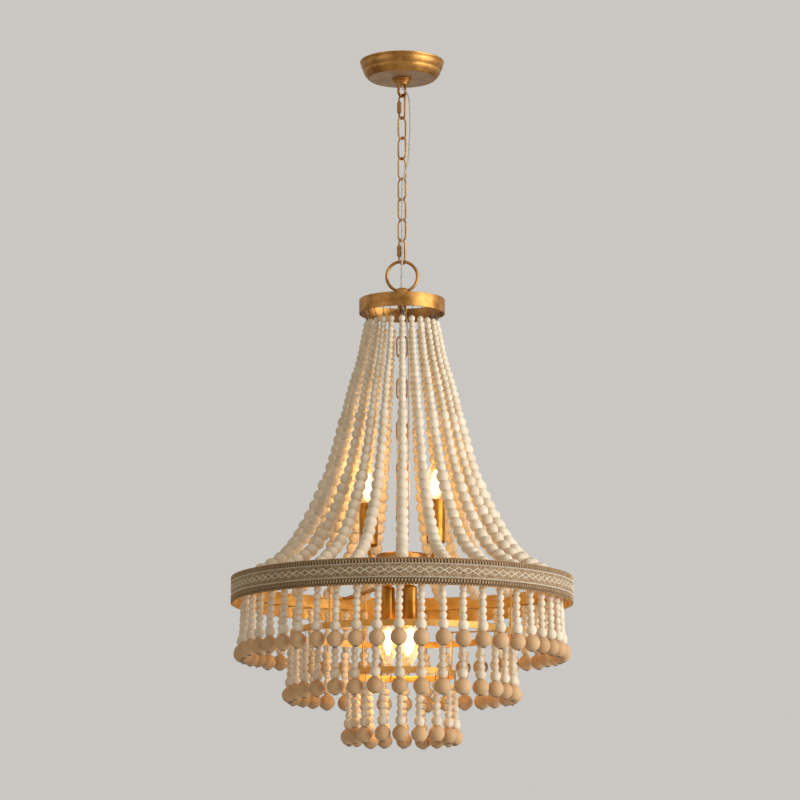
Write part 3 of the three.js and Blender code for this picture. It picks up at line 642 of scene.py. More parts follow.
def swept(path, widths, sides=10, closed=False, across=None):
    """A tube along a path: one radius, a list of radii, or a pair of half widths, in and across its plane."""
    path = np.asarray(path, float)
    count = len(path)
    if closed:
        runs = np.roll(path, -1, 0) - np.roll(path, 1, 0)
    else:
        runs = np.gradient(path, axis=0)
    runs /= np.linalg.norm(runs, axis=1)[:, None]
    if isinstance(widths, list):
        widths = np.stack([widths, widths], 1)
    elif isinstance(widths, tuple):
        widths = np.tile(widths, (count, 1))
    else:
        widths = np.full((count, 2), float(widths))
    side = np.array(across if across is not None else (1.0, 0.0, 0.0), float)
    if across is None and abs(runs[0] @ side) > 0.9:
        side = np.array((0.0, 1.0, 0.0))
    angles = np.linspace(0, 2 * math.pi, sides, endpoint=False) + math.pi / sides
    points = []
    for centre, run, (inside, beside) in zip(path, runs, widths):
        side = side - run * (side @ run)
        side /= np.linalg.norm(side)
        out = np.cross(run, side)
        points.append(centre + np.outer(np.cos(angles) * inside, out)
                      + np.outer(np.sin(angles) * beside, side))
    points = np.concatenate(points)
    spans = count if closed else count - 1
    row = np.arange(spans)[:, None] * sides
    over = ((np.arange(spans) + 1) % count)[:, None] * sides
    step = np.arange(sides)[None, :]
    after = (step + 1) % sides
    quads = np.stack([row + step, row + after, over + after, over + step], 2).reshape(-1, 4)
    faces = [quads]
    if not closed:
        last = (count - 1) * sides
        faces += [np.arange(sides)[None, ::-1], (last + np.arange(sides))[None, :]]
    return outward(points, faces)


def pin(radius, top, bottom, x=0.0, y=0.0, segments=24, ease=0.3 * MM):
    """An upright round rod with eased ends."""
    profile = rounded([(0.0, top), (radius, top), (radius, bottom), (0.0, bottom)], ease, 3, closed=False)
    points, faces = turned(profile, segments, closed=False)
    return points + np.array([x, y, 0.0]), faces


def moved(shape, x=0.0, y=0.0, z=0.0):
    return shape[0] + np.array([x, y, z]), shape[1]


def direction(turn):
    """The way out from the axis at a turn in degrees, counted from the front."""
    angle = math.radians(turn)
    return np.array([math.sin(angle), -math.cos(angle), 0.0])


def arc(centre, radius, start, end, steps):
    return [(centre[0] + radius * math.cos(math.radians(start + (end - start) * k / steps)),
             centre[1] + radius * math.sin(math.radians(start + (end - start) * k / steps)))
            for k in range(steps + 1)]


def in_plane(turn, line):
    """A line of (radius, height) pairs, set in the upright plane of that turn."""
    along = direction(turn)
    return np.array([along * a + np.array([0.0, 0.0, b]) for a, b in line])


def plane_normal(turn):
    return np.cross(direction(turn), (0.0, 0.0, 1.0))


def oval_line(tall, wide, wire, centre, pinch=0.0, steps=14):
    """The centre line of a link; pinch bows its legs so that its ends are narrower."""
    radius = (wide - wire) / 2
    reach = (tall - wide) / 2
    line = arc((0.0, reach), radius, 0, 180, steps) + arc((0.0, -reach), radius, 180, 360, steps)
    rows = []
    for a, b in line:
        share = min(abs(b) / (tall / 2), 1.0)
        rows.append((a * (1.0 - pinch * share ** 2), b + centre))
    return rows


def eye(outer, wire, centre):
    """An upright ring of wire."""
    line = arc((0.0, centre), (outer - wire) / 2, 0, 350, 35)
    return swept(in_plane(90, line), wire / 2, 12, closed=True, across=plane_normal(90))


def lengths(path):
    """How far along the path each of its points lies."""
    return np.concatenate([[0.0], np.cumsum(np.linalg.norm(np.diff(path, axis=0), axis=1))])


def spaced(path, step):
    """The path's points again, evenly spaced."""
    path = np.asarray(path, float)
    run = lengths(path)
    count = max(int(run[-1] / step), 2)
    at = np.linspace(0, run[-1], count + 1)
    return np.stack([np.interp(at, run, path[:, i]) for i in range(path.shape[1])], 1)


def blended(first, second, start, end, at):
    """The mean of two points that stand at start and end, as weighted at a value between them."""
    return ((end - at) * first + (at - start) * second) / (end - start)


def smooth_path(points, per_span=6):
    """A curve through the points (centripetal), in the dimension that they have."""
    points = np.asarray(points, float)
    ends = np.vstack([2 * points[0] - points[1], points, 2 * points[-1] - points[-2]])
    result = []
    for i in range(1, len(ends) - 2):
        near = ends[i - 1:i + 3]
        knots = [0.0]
        for a, b in zip(near, near[1:]):
            knots.append(knots[-1] + max(np.linalg.norm(b - a), 1e-9) ** 0.5)
        for k in range(per_span):
            t = knots[1] + (knots[2] - knots[1]) * k / per_span
            rows = [blended(near[j], near[j + 1], knots[j], knots[j + 1], t) for j in range(3)]
            rows = [blended(rows[j], rows[j + 1], knots[j], knots[j + 2], t) for j in range(2)]
            result.append(blended(rows[0], rows[1], knots[1], knots[2], t))
    result.append(points[-1])
    return np.array(result)


def bead_form(segments, rows, hole, round_share):
    """A turned bead of unit size with its hole along Z: a ball cut flat at both ends."""
    line = []
    for k in range(rows + 1):
        up = math.sin(math.pi * (0.5 - k / rows))
        line.append((math.sqrt(max(1.0 - (round_share * up) ** 2, 0.0)), up))
    flat = line[0][0]
    end = [(hole, 0.8), (hole, 0.965), ((hole + flat) / 2, 0.992)]
    under = [(r, -z) for r, z in reversed(end)]
    return turned(end + line + under, segments)


class Beads:
    """Beads gathered by finish: each is placed along its own axis with its own grain."""

    def __init__(self, seed):
        self.random = random.Random(seed)
        self.pale = Form()
        self.raw = Form()
        self.small_form = bead_form(segments=16, rows=9, hole=0.17, round_share=0.87)
        self.large_form = bead_form(segments=28, rows=16, hole=0.2, round_share=0.965)

    def add(self, centre, axis, width, height, raw=False):
        pick = self.random
        form = self.large_form if raw else self.small_form
        axis = np.asarray(axis, float) / np.linalg.norm(axis)
        turn = Vector((0, 0, 1)).rotation_difference(Vector(axis)).to_matrix().to_4x4()
        turn = turn @ Matrix.Rotation(pick.uniform(0, 2 * math.pi), 4, "Z")
        grow = Matrix.Diagonal((width / 2, width / 2, height / 2, 1.0))
        matrix = Matrix.Translation(Vector(centre)) @ turn @ grow
        spin = np.array(Matrix.Rotation(pick.uniform(0, 6.28), 3, "Z")
                        @ Matrix.Rotation(pick.uniform(0.9, 2.2), 3, "X")
                        @ Matrix.Rotation(pick.uniform(0, 6.28), 3, "Z"))
        local = form[0] * (width / 2 / MM)
        offset = [pick.uniform(-400, 400) for _ in range(3)]
        target = self.raw if raw else self.pale
        target.add(form, matrix, grain=local @ spin.T + offset, tone=pick.uniform(0.0, 1.0))


def hex_sleeve(radius, bore, half):
    """A sleeve nut with six flats and eased ends."""
    ease = 0.9 * MM
    profile = [(bore, half), (radius - ease, half), (radius, half - ease), (radius, -half + ease),
               (radius - ease, -half), (bore, -half)]
    return turned(profile, 6)


def threads(radius, top, bottom, pitch, segments=20):
    """A screw thread: ridges that climb by one pitch in each turn, round a plain core."""
    rows_per_turn, groove = 6, 0.28
    rows = max(int((top - bottom) / pitch * rows_per_turn), 8)
    angles = np.linspace(0, 2 * math.pi, segments, endpoint=False)
    points = []
    for k in range(rows + 1):
        height = top + (bottom - top) * k / rows
        wave = 0.5 + 0.5 * np.cos(2 * math.pi * (height / pitch) + angles)
        width = radius - groove * pitch * wave
        heights = np.full(segments, height)
        points.append(np.stack([width * np.cos(angles), width * np.sin(angles), heights], 1))
    points = np.concatenate(points)
    step = np.arange(segments)
    after = (step + 1) % segments
    quads = np.concatenate([np.stack([at + step, at + after, at + segments + after, at + segments + step], 1)
                            for at in range(0, rows * segments, segments)])
    ends = [step[None, ::-1], (rows * segments + step)[None, :]]
    return outward(points, [quads] + ends)


def keep(name, finish, ease=0.4 * MM):
    """A frame node that stays: its edges eased and its finish set."""
    node = frame["nodes"][name]
    node.data.materials.clear()
    node.data.materials.append(MATERIALS[finish])
    bevel = node.modifiers.new("Eased edges", "BEVEL")
    bevel.width = ease
    bevel.segments = 2
    bevel.limit_method = "ANGLE"
    bevel.angle_limit = math.radians(40)
    return node


class Maker(bpy.types.Operator):
    """Base of the chandelier's operators"""
    bl_options = {"REGISTER", "UNDO"}


class CHANDELIER_OT_camera(Maker):
    """Sets up the camera at the photographed viewing angle"""
    bl_idname = "chandelier.camera"
    bl_label = "Camera"

    def execute(self, context):
        stage = sizes("stage")
        data = bpy.data.cameras.new("view")
        data.lens = stage.lens
        data.sensor_width = 36.0
        data.clip_end = 60.0
        camera = bpy.data.objects.new("view", data)
        beside_axis = -3.63 * MM
        camera.location = (beside_axis, -stage.distance, HOOP_TOP - stage.drop)
        camera.rotation_euler = (math.pi / 2 + stage.tilt, 0.0, 0.0)
        bpy.context.scene.collection.objects.link(camera)
        bpy.context.scene.camera = camera
        return {"FINISHED"}


# The cord's route in millimetres from the ceiling point
CORD_ROUTE = [
    (0, 0, 3), (0, 0, -22), (0, 0, -44), (0.5, 0, -47.5), (4.5, 0, -53), (10.5, -0.6, -61), (13.4, -1, -74),
    (14.6, -1.2, -98), (14.6, -1.6, -125), (13.8, -2.2, -150), (12.4, -3.6, -172), (10.6, -6, -188),
    (7.4, -8.6, -200), (3.6, -9.6, -213), (1.2, -8.8, -228), (0.3, -7.4, -245), (0.2, -7, -300),
    (0.2, -7, -350),
    (-0.4, -7, -385), (-0.9, -7, -410), (-1, -7, -425), (-1, -7, -444), (-0.8, -7, -450), (2, -7, -457.5),
    (5.4, -7, -466), (8.8, -7, -484), (10.8, -7, -515), (11.8, -7, -560), (12.2, -7, -640), (12, -7, -740),
    (11, -7, -830), (9.7, -6.95, -880), (9.55, -6.94, -896), (9.55, -6.94, -905),
]
CHAIN_BODIES = ["ceiling_mount", "upper_quick_link"] + LINKS + ["lower_quick_link", "fixture"]


def chain_pivots():
    """Heights of the chain's joints, from the top."""
    places = {}
    for joint in frame["record"]["behaviour"]["joints"]:
        if joint["name"].startswith("chain_swing"):
            places[joint["parent"]] = joint["pos_m"][2]
    return [places[body] for body in CHAIN_BODIES[:-1]]


class CHANDELIER_OT_cord(Maker):
    """Runs the lamp cord down the chain, in lengths cut between the chain's joints"""
    bl_idname = "chandelier.cord"
    bl_label = "Cord"

    def execute(self, context):
        radius, sides = sizes("cord").radius, 12
        row_gap, bend_reach, last_cut = 1.6 * MM, 9 * MM, 24 * MM
        path = spaced(smooth_path(np.array(CORD_ROUTE, float) * MM, 8), row_gap)
        pivots = chain_pivots()
        cuts = [(a + b) / 2 for a, b in zip(pivots, pivots[1:])] + [pivots[-1] - last_cut]
        run = lengths(path)
        start = 0
        around = np.linspace(0, 2 * math.pi, sides, endpoint=False)
        for k in range(len(cuts) + 1):
            end = int(np.argmax(path[:, 2] < cuts[k])) if k < len(cuts) else len(path) - 1
            part = path[start:end + 1]
            up = np.repeat(run[start:end + 1] / MM, sides)
            form = Form().add(swept(part, radius, sides), up=up, around=np.tile(np.sin(around), len(part)))
            last = k == len(cuts)
            made = form.piece(f"cord_{k + 1}", "cord", "fixture" if last else None, "cord", ["cord"])
            if not last:
                pivots[k] + bend_reach
                pivots[k] - bend_reach
                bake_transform(made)
            start = end
        return {"FINISHED"}


class CHANDELIER_OT_stage(Maker):
    """Lays the pale floor, the soft lamps and the plain backdrop"""
    bl_idname = "chandelier.stage"
    bl_label = "Stage"

    def execute(self, context):
        stage = sizes("stage")
        self.floor(stage)
        self.world(stage)
        self.area("key_light", (4.2, -2.0, -0.35), (0.0, 0.0, -0.75), 3.8, stage.key, (1.0, 0.985, 0.96))
        self.area("fill_light", (-3.6, -2.6, -0.9), (0.0, 0.0, -0.85), 2.4, stage.fill, (1.0, 0.93, 0.82))
        bpy.context.scene.view_settings.view_transform = "Standard"
        return {"FINISHED"}

    @staticmethod
    def floor(stage):
        shade = Shade("floor", tuple(stage.floor))
        grain = shade.noise(shade.place(), 40.0, 4.0)
        shade.surface({"Base Color": shade.mix(grain * 0.12, tuple(stage.floor), (0.5, 0.49, 0.47)),
                       "Roughness": 0.9})
        mesh = bpy.data.meshes.new("floor")
        half, height = 9.0, -2.44
        mesh.from_pydata([(-half, -half, height), (half, -half, height), (half, half, height),
                          (-half, half, height)], [], [(0, 1, 2, 3)])
        mesh.materials.append(shade.owner)
        made = bpy.data.objects.new("floor", mesh)
        bpy.context.scene.collection.objects.link(made)

    @staticmethod
    def world(stage):
        shade = Shade("studio")
        bpy.context.scene.world = shade.owner
        seen = shade.node("ShaderNodeLightPath", output="Is Camera Ray")
        rays = seen.socket.node.outputs
        for ray in ("Is Glossy Ray", "Is Transmission Ray"):
            seen = seen.most(Value(shade, rays[ray]))
        light = shade.node("ShaderNodeBackground", {}, {"Color": (1.0, 0.89, 0.74, 1.0),
                                                        "Strength": stage.world})
        plain = shade.node("ShaderNodeBackground", {}, {"Color": (*stage.backdrop, 1.0), "Strength": 1.0})
        shade.finish(shade.node("ShaderNodeMixShader", {}, {0: seen, 1: light, 2: plain}))

    @staticmethod
    def area(name, place, target, width, power, tint):
        data = bpy.data.lights.new(name, "AREA")
        data.size = width
        data.energy = power
        data.color = tint
        made = bpy.data.objects.new(name, data)
        made.location = place
        made.rotation_euler = (Vector(target) - Vector(place)).to_track_quat("-Z", "Y").to_euler()
        bpy.context.scene.collection.objects.link(made)


class CHANDELIER_OT_ceiling(Maker):
    """Makes the canopy, its collar, the loop and the fixing inside"""
    bl_idname = "chandelier.ceiling"
    bl_label = "Canopy and fixing"

    def execute(self, context):
        self.canopy()
        self.collar()
        self.loop()
        self.fixing()
        return {"FINISHED"}

    @staticmethod
    def canopy():
        metal = sizes("metal")
        radius, disc, deep = metal.canopy_radius, metal.disc_radius, metal.canopy_height
        mouth, wall = 12.6 * MM, 1.5 * MM
        step = [(-1.4, 0.0), (0.0, -0.4), (0.0, -1.3), (-0.7, -3.4), (-2.1, -5.2), (-1.9, -6.6), (-2.8, -11.0),
                (-5.0, -15.2), (-6.6, -17.0), (-6.9, -17.9), (-6.4, -18.9), (-7.0, -21.4), (-9.2, -25.0)]
        hollow = [(-9.6, -22.0), (-8.4, -17.6), (-4.4, -9.6), (-2.9, -2.6), (-2.8, 0.0)]
        outside = [(radius + a, b) for a, b in in_mm(step)]
        outside += [(disc + a, b) for a, b in in_mm([(4.4, -28.4), (2.2, -30.8)])]
        outside += [(disc - 0.2 * MM, -deep), (disc - 2.2 * MM, -deep), (40 * MM, -deep + 0.1 * MM),
                    (mouth, -deep + 0.1 * MM)]
        inside = [(mouth, -deep + wall), (disc - 1.5 * MM, -deep + wall), (disc + 3.0 * MM, -27.2 * MM)]
        inside += [(radius + a, b) for a, b in in_mm(hollow)]
        soft = rounded(outside, 1.2 * MM, 3, closed=False) + inside
        form = Form().add(turned(soft, 160))
        piece = form.piece("canopy_shell", "brass", "canopy", "brass", ["canopy"], sharp=40)
        piece.data.materials.append(MATERIALS["brass_disc"])
        for face in piece.data.polygons:
            spot = face.center
            if spot.z < -deep + 0.6 * MM and math.hypot(spot.x, spot.y) < disc:
                face.material_index = 1

    @staticmethod
    def collar():
        top = high("collar_ring")
        profile = [(12.6, 0.0), (17.2, 0.0), (17.6, -1.0), (17.5, -2.2), (16.2, -3.1), (14.9, -3.5),
                   (14.7, -4.2), (15.5, -4.9), (15.4, -6.0), (14.0, -7.2), (12.6, -7.5)]
        form = Form().add(turned(rounded(in_mm(profile, top), 0.5 * MM, 3), 96))
        form.piece("collar_ring_turned", "brass", "collar_ring", "brass", ["collar_ring"])

    @staticmethod
    def loop():
        top, foot = high("collar_loop"), low("collar_loop")
        shoulder = -41.0 * MM
        neck = [(0.0, top), (12.0, top), (12.0, -38.6 * MM), (12.3, -39.4 * MM), (11.7, shoulder),
                (10.9, shoulder - 1.8 * MM), (9.0, shoulder - 3.7 * MM), (0.0, shoulder - 3.9 * MM)]
        form = Form().add(turned(rounded(widened(neck), 0.5 * MM, 3, closed=False), 72, closed=False))
        thick, deep, wide, turn = 4.0 * MM, 6.4 * MM, 21.0 * MM, 135
        half = (wide - thick) / 2
        centre = foot - 0.1 * MM + thick / 2 + half
        line = ([(half, shoulder)] + [(half, shoulder + (centre - shoulder) * k / 4) for k in (1, 2, 3)]
                + arc((0.0, centre), half, 0, -180, 24)
                + [(-half, centre + (shoulder - centre) * k / 4) for k in (1, 2, 3, 4)])
        form.add(swept(in_plane(turn, line), (thick / 2, deep / 2), 20, across=plane_normal(turn)))
        form.piece("collar_loop_cast", "brass", "ceiling_mount", "brass", ["collar_loop"], sharp=50)

    @staticmethod
    def fixing():
        keep("mounting_strap", "steel", 0.5 * MM)
        keep("nipple_nut", "steel", 0.6 * MM)
        top, foot = high("threaded_nipple"), low("threaded_nipple")
        form = Form().add(threads(5.0 * MM, top, foot, 1.0 * MM, 32))
        form.piece("threaded_nipple_cut", "steel", "ceiling_mount", "steel", ["threaded_nipple"])
        for name in ("strap_screw_1", "strap_screw_2"):
            x = middle(name)[0]
            top, foot = high(name), low(name)
            seat = foot + 2.8 * MM
            screw = Form().add(moved(threads(2.0 * MM, top, seat - 0.5 * MM, 0.8 * MM), x))
            head = [(0.0, seat), (4.6, seat), (4.5, seat - 1.2 * MM), (3.2, foot + 0.2 * MM), (1.1, foot),
                    (1.0, foot + 1.2 * MM), (0.0, foot + 1.3 * MM)]
            screw.add(moved(turned(rounded(widened(head), 0.4 * MM, 2, closed=False), 32, closed=False), x))
            screw.piece(name + "_pan_head", "steel", "ceiling_mount", "steel", [name], sharp=45)


def quick_link(node, turn, side, body):
    """A quick link: its wire, the screwed leg and the six-sided sleeve nut."""
    top, foot = high(node), low(node)
    centre = (top + foot) / 2
    path = in_plane(turn, oval_line(top - foot, QUICK_WIDE, QUICK_WIRE, centre, 0.02, 18))
    leg = direction(turn) * side * (QUICK_WIDE - QUICK_WIRE) / 2
    form = Form().add(swept(path, QUICK_WIRE / 2, 14, closed=True, across=plane_normal(turn)))
    above = threads(2.25 * MM, centre + 12.2 * MM, centre + 9.7 * MM, 0.7 * MM)
    below = above[0] * [1, 1, -1] + [0, 0, centre * 2], above[1]
    for screw in (above, below):
        form.add(moved(screw, leg[0], leg[1]))
    form.piece(node + "_bent", "brass", body, "brass", [node])
    nut = Form().add(moved(hex_sleeve(4.0 * MM, 2.4 * MM, 9.8 * MM), leg[0], leg[1], centre))
    nut.piece(node + "_sleeve", "brass", body, "brass", [node + "_nut"], sharp=25)


def link(node, turn, body):
    """An oval link, with the butt joint of its wire half way up one leg."""
    top, foot = high(node), low(node)
    centre = (top + foot) / 2
    line = oval_line(top - foot, LINK_WIDE, LINK_WIRE, centre, 0.12, 16)
    form = Form().add(swept(in_plane(turn, line), LINK_WIRE / 2, 12, closed=True, across=plane_normal(turn)))
    seam = in_plane(turn, [(-(LINK_WIDE - LINK_WIRE) / 2, centre)])[0]
    proud, sunk, half = LINK_WIRE / 2 + 0.12 * MM, LINK_WIRE / 2 - 0.3 * MM, 0.35 * MM
    form.add(moved(turned([(proud, half), (proud, -half), (sunk, -half), (sunk, half)], 16), *seam))
    form.piece(node + "_bent", "brass", body, "brass", [node])


class CHANDELIER_OT_chain(Maker):
    """Makes the chain: quick links, oval links and the inner chain"""
    bl_idname = "chandelier.chain"
    bl_label = "Chains"

    def execute(self, context):
        quick_link("upper_quick_link", 45, -1, "upper_quick_link")
        for i, name in enumerate(LINKS):
            link(name, -45 + 90 * (i % 2), name)
        quick_link("lower_quick_link", -45, 1, "lower_quick_link")
        quick_link("inner_quick_link", 0, -1, "fixture")
        for i, name in enumerate(INNER_LINKS):
            link(name, 90 + 90 * (i % 2), "fixture")
        return {"FINISHED"}


class CHANDELIER_OT_crown(Maker):
    """Makes the hanging ring, its domed seat, the crown band and what is inside it"""
    bl_idname = "chandelier.crown"
    bl_label = "Crown and ring"

    def execute(self, context):
        self.ring()
        metal = sizes("metal")
        crown = Form().add(band(metal.crown_radius, WALL, CROWN_TOP, CROWN_LOW, 160, 0.6 * MM))
        crown.piece("crown_band_rolled", "brass", "fixture", "brass", ["crown_band"], sharp=40)
        keep("crown_crossbar", "brass", 0.5 * MM)
        self.loop()
        return {"FINISHED"}

    @staticmethod
    def ring():
        outer, wire = 60.5 * MM, 5.5 * MM
        top = high("hanging_ring")
        centre = top - outer / 2
        radius = (outer - wire) / 2
        line = arc((0.0, centre), radius, 0, 355, 71)
        form = Form().add(swept(in_plane(90, line), wire / 2, 20, closed=True, across=plane_normal(90)))
        dome_top = top - outer + 9.6 * MM
        foot = low("hanging_ring")
        profile = in_mm([(0.0, 0.0), (4.5, -0.2), (8.6, -1.5), (11.0, -4.2), (12.0, -7.8)], dome_top)
        profile += in_mm([(12.0, 3.0), (12.4, 2.2), (13.5, 1.6), (13.5, 0.0)], CROWN_TOP)
        profile += in_mm([(13.5, 0.0), (0.0, 0.0)], foot)
        form.add(turned(rounded(profile, 0.7 * MM, 3, closed=False), 72, closed=False))
        form.piece("hanging_ring_cast", "brass", "fixture", "brass", ["hanging_ring"])

    @staticmethod
    def loop():
        outer, wire = 18 * MM, 3.6 * MM
        centre = low("crown_loop") + outer / 2
        form = Form().add(eye(outer, wire, centre))
        form.add(pin(2.75 * MM, high("crown_loop"), centre + (outer - wire) / 2))
        form.piece("crown_loop_bent", "brass", "fixture", "brass", ["crown_loop"])


# A draped strand in millimetres, out from the axis and up from the hoop's top
DRAPE_LINE = [(62, 459.6), (77.4, 384.1), (91.5, 333.7), (106, 272), (122.8, 207.5), (140, 157), (148, 138.1),
              (157.5, 117.7), (165.6, 101.4), (177, 83.1), (185.6, 67.4), (198.5, 51.7), (209.5, 37.5),
              (226, 25), (244, 13.5), (261, 4.5), (276, -6)]
# Strands that stand out of their even place, and by how many degrees
DRAPE_SHIFTS = {1: 0.6, 2: 0.8, 19: -3.0, 20: -3.0, 21: -0.5, 22: -1.0, 23: -2.0}
DRAPE_STRANDS = 24
# The beads of a draped strand from the top: their size, height in millimetres and number
DRAPE_BEADS = [("drape_tiny", 10.3, 9), ("drape_small", 12.2, 7), ("drape_medium", 16.8, 7),
               ("drape_large", 19.6, 12)]


def drape_turn(i):
    return 360.0 * i / DRAPE_STRANDS + DRAPE_SHIFTS.get(i, 0.0)


class CHANDELIER_OT_drape(Maker):
    """Strings the draped strands from the crown to the hoop"""
    bl_idname = "chandelier.drape"
    bl_label = "Drape"

    def execute(self, context):
        beads = Beads(seed=11)
        wires = Form()
        path = spaced(smooth_path(np.array(DRAPE_LINE) * MM + [0, HOOP_TOP], 8), 0.5 * MM)
        for i in range(DRAPE_STRANDS):
            self.strand(beads, wires, path, drape_turn(i))
        beads.pale.piece("drape_beads", "pale", "fixture", "beads", ["drape_tier"])
        outer, wall = sizes("metal").crown_radius - 2.9 * MM, 1.2 * MM
        strip = Form().add(band(outer, wall, CROWN_LOW + 11 * MM, CROWN_LOW + 0.4 * MM, 144, 0.3 * MM))
        strip.piece("crown_tie_strip", "brass", "fixture", "brass")
        # Dark discs on the tie strip: the lower row is painted shade of its holes, the upper row small dark pins
        holes = Form()
        holes_round = 72
        for i in range(holes_round):
            place = direction(360.0 / holes_round * i) * (outer - wall)
            holes.add(puck(place + [0, 0, CROWN_LOW + 4.2 * MM], place, 1.25 * MM))
            if i % 2:
                holes.add(puck(place + [0, 0, CROWN_LOW + 9.0 * MM], place, 0.7 * MM))
        holes.piece("crown_holes", "wire", "fixture", "steel")
        wires.piece("drape_wires", "wire", "fixture", "steel")
        return {"FINISHED"}

    def strand(self, beads, wires, path, turn):
        size = sizes("beads")
        pick = beads.random
        along = direction(turn)
        beside = plane_normal(turn)
        run = lengths(path)
        sway = pick.uniform(-1.3, 1.3) * MM
        sag = pick.uniform(-1.4, 1.4) * MM
        at = 0.0
        for width, tall in self.rows(size, pick, run[-1]):
            middle_at = at + tall / 2
            if middle_at > run[-1]:
                break
            r, z = (np.interp(middle_at, run, path[:, k]) for k in (0, 1))
            r2, z2 = (np.interp(middle_at + MM, run, path[:, k]) for k in (0, 1))
            share = middle_at / run[-1]
            bow = math.sin(math.pi * share)
            centre = along * (r + sag * bow * 0.6) + beside * (sway * bow + pick.uniform(-0.25, 0.25) * MM)
            axis = along * (r2 - r) + np.array([0, 0, z2 - z]) + beside * pick.uniform(-0.06, 0.06) * MM
            beads.add(centre + [0, 0, z + sag * bow], axis, width, tall * 1.012)
            at += tall
        self.top_wire(wires, along, beside, path[0], pick, size.wire)
        tie = [along * np.interp(a, run, path[:, 0]) + [0, 0, np.interp(a, run, path[:, 1])]
               for a in (at - 5 * MM, min(at + 1.5 * MM, run[-1]))]
        tie.append(along * (sizes("metal").hoop_radius - WALL - 0.4 * MM) + [0, 0, DRAPE_HOLE])
        wires.add(swept(smooth_path(tie, 4), size.wire * 0.45, 5))

    @staticmethod
    def rows(size, pick, total):
        """Width and height of each bead of a strand, stretched a little where the strand is longer."""
        plan = [(getattr(size, key), pitch) for key, pitch, count in DRAPE_BEADS for _ in range(count)]
        most = 1.03
        stretch = min(total / (sum(pitch for _, pitch in plan) * MM), most)
        return [(width * pick.uniform(0.965, 1.03), pitch * MM * stretch) for width, pitch in plan]

    @staticmethod
    def top_wire(wires, along, beside, start, pick, wire):
        """The wire from a strand's first bead up to the crown's strip, with the curl of its end."""
        r, z = start
        hole = sizes("metal").crown_radius - 4.3 * MM
        skew = pick.uniform(-2.5, 2.5) * MM
        line = [along * r + [0, 0, z - 2 * MM],
                along * (r + 1.5 * MM) + beside * skew * 0.3 + [0, 0, z + 4 * MM],
                along * (hole - 3.5 * MM) + beside * skew + [0, 0, CROWN_LOW + pick.uniform(2.5, 9) * MM],
                along * (hole + 0.4 * MM) + beside * skew * 0.8 + [0, 0, CROWN_LOW + 6 * MM]]
        wires.add(swept(smooth_path(line, 5), wire * 0.55, 6))
        curl = arc((0.0, 0.0), 2.2 * MM, 0, 300, 10)
        base = along * (r + 0.5 * MM) + [0, 0, z + 3.5 * MM]
        loop = [base + beside * a * 0.8 + along * b * 0.5 + np.array([0, 0, b]) for a, b in curl]
        wires.add(swept(loop, wire * 0.5, 5))


def puck(place, normal, radius, depth=0.5 * MM, sides=12):
    """A small round plug in a wall, proud by a hair; in a dark finish it is the painted shade of a hole seen
    from outside.
    """
    shape = turned([(0.0, depth / 2), (radius, depth / 2), (radius, -depth / 2), (0.0, -depth / 2)], sides,
                   closed=False)
    turn = Vector((0, 0, 1)).rotation_difference(Vector(normal)).to_matrix()
    return shape[0] @ np.array(turn).T + np.asarray(place), shape[1]


def hanging_strand(beads, wires, turn, radius, hole, run_top, small_count, splay=0.0, loose=0.016):
    """A short strand: wire, small beads, one medium bead, one large raw bead and the knot under it."""
    size = sizes("beads")
    pick = beads.random
    along = direction(turn)
    beside = plane_normal(turn)
    lean = np.array([pick.uniform(-loose, loose), splay + pick.uniform(-loose, loose)])
    top = along * radius + [0, 0, run_top + pick.uniform(-1.1, 1.1) * MM]

    def at(down):
        return top + beside * lean[0] * down + along * lean[1] * down - np.array([0, 0, down])

    axis = at(1.0) - at(0.0)
    down = 0.0
    rows = [(size.small * pick.uniform(0.955, 1.04), size.small_pitch, False) for _ in range(small_count)]
    rows.append((size.medium, size.medium_pitch, False))
    rows.append((size.large * pick.uniform(0.98, 1.012), size.large * 0.955, True))
    for width, tall, raw in rows:
        shift = beside * pick.uniform(-0.4, 0.4) * MM + along * pick.uniform(-0.3, 0.3) * MM
        tilt = axis + beside * pick.uniform(-0.09, 0.09) + along * pick.uniform(-0.09, 0.09)
        beads.add(at(down + tall / 2) + shift, tilt, width, tall * 1.005, raw)
        down += tall
    hole_at = along * hole[0] + [0, 0, hole[1]]
    above = at(-2 * MM)
    rise = [at(4 * MM), above, (above + hole_at) / 2 + beside * pick.uniform(-0.6, 0.6) * MM, hole_at]
    wires.add(swept(smooth_path(rise, 4), size.wire * 0.5, 6))
    knot(wires, at(down), along, beside, pick, size.wire)


def knot(wires, place, along, beside, pick, wire):
    """The twisted wire end in the mouth of a large bead's hole, with two short tails, over a dark disc that is
    painted shade of the hole's mouth.
    """
    mouth = place + [0, 0, 0.9 * MM]
    coil, rows, turns = [], 18, 2.6
    for k in range(rows + 1):
        angle = 2 * math.pi * turns * k / rows
        coil.append(mouth + (along * math.cos(angle) + beside * math.sin(angle)) * (1.8 - 0.05 * k) * MM
                    - np.array([0, 0, 0.06 * k * MM]))
    wires.add(swept(coil, wire * 0.7, 6))
    # Painted shade: a dark disc in the mouth of the bead's hole stands in for the shade inside it
    wires.add(puck(place + [0, 0, 0.5 * MM], (0, 0, 1), 4.4 * MM, 1.6 * MM, 20))
    for _ in range(2):
        turn = pick.uniform(0, 2 * math.pi)
        out = along * math.cos(turn) + beside * math.sin(turn)
        tail = [place + [0, 0, 0.4 * MM], place + out * 1.4 * MM - np.array([0, 0, 0.7 * MM]),
                place + out * pick.uniform(2.0, 4.2) * MM - np.array([0, 0, pick.uniform(1.0, 3.2) * MM])]
        wires.add(swept(smooth_path(tail, 3), wire * 0.36, 5))


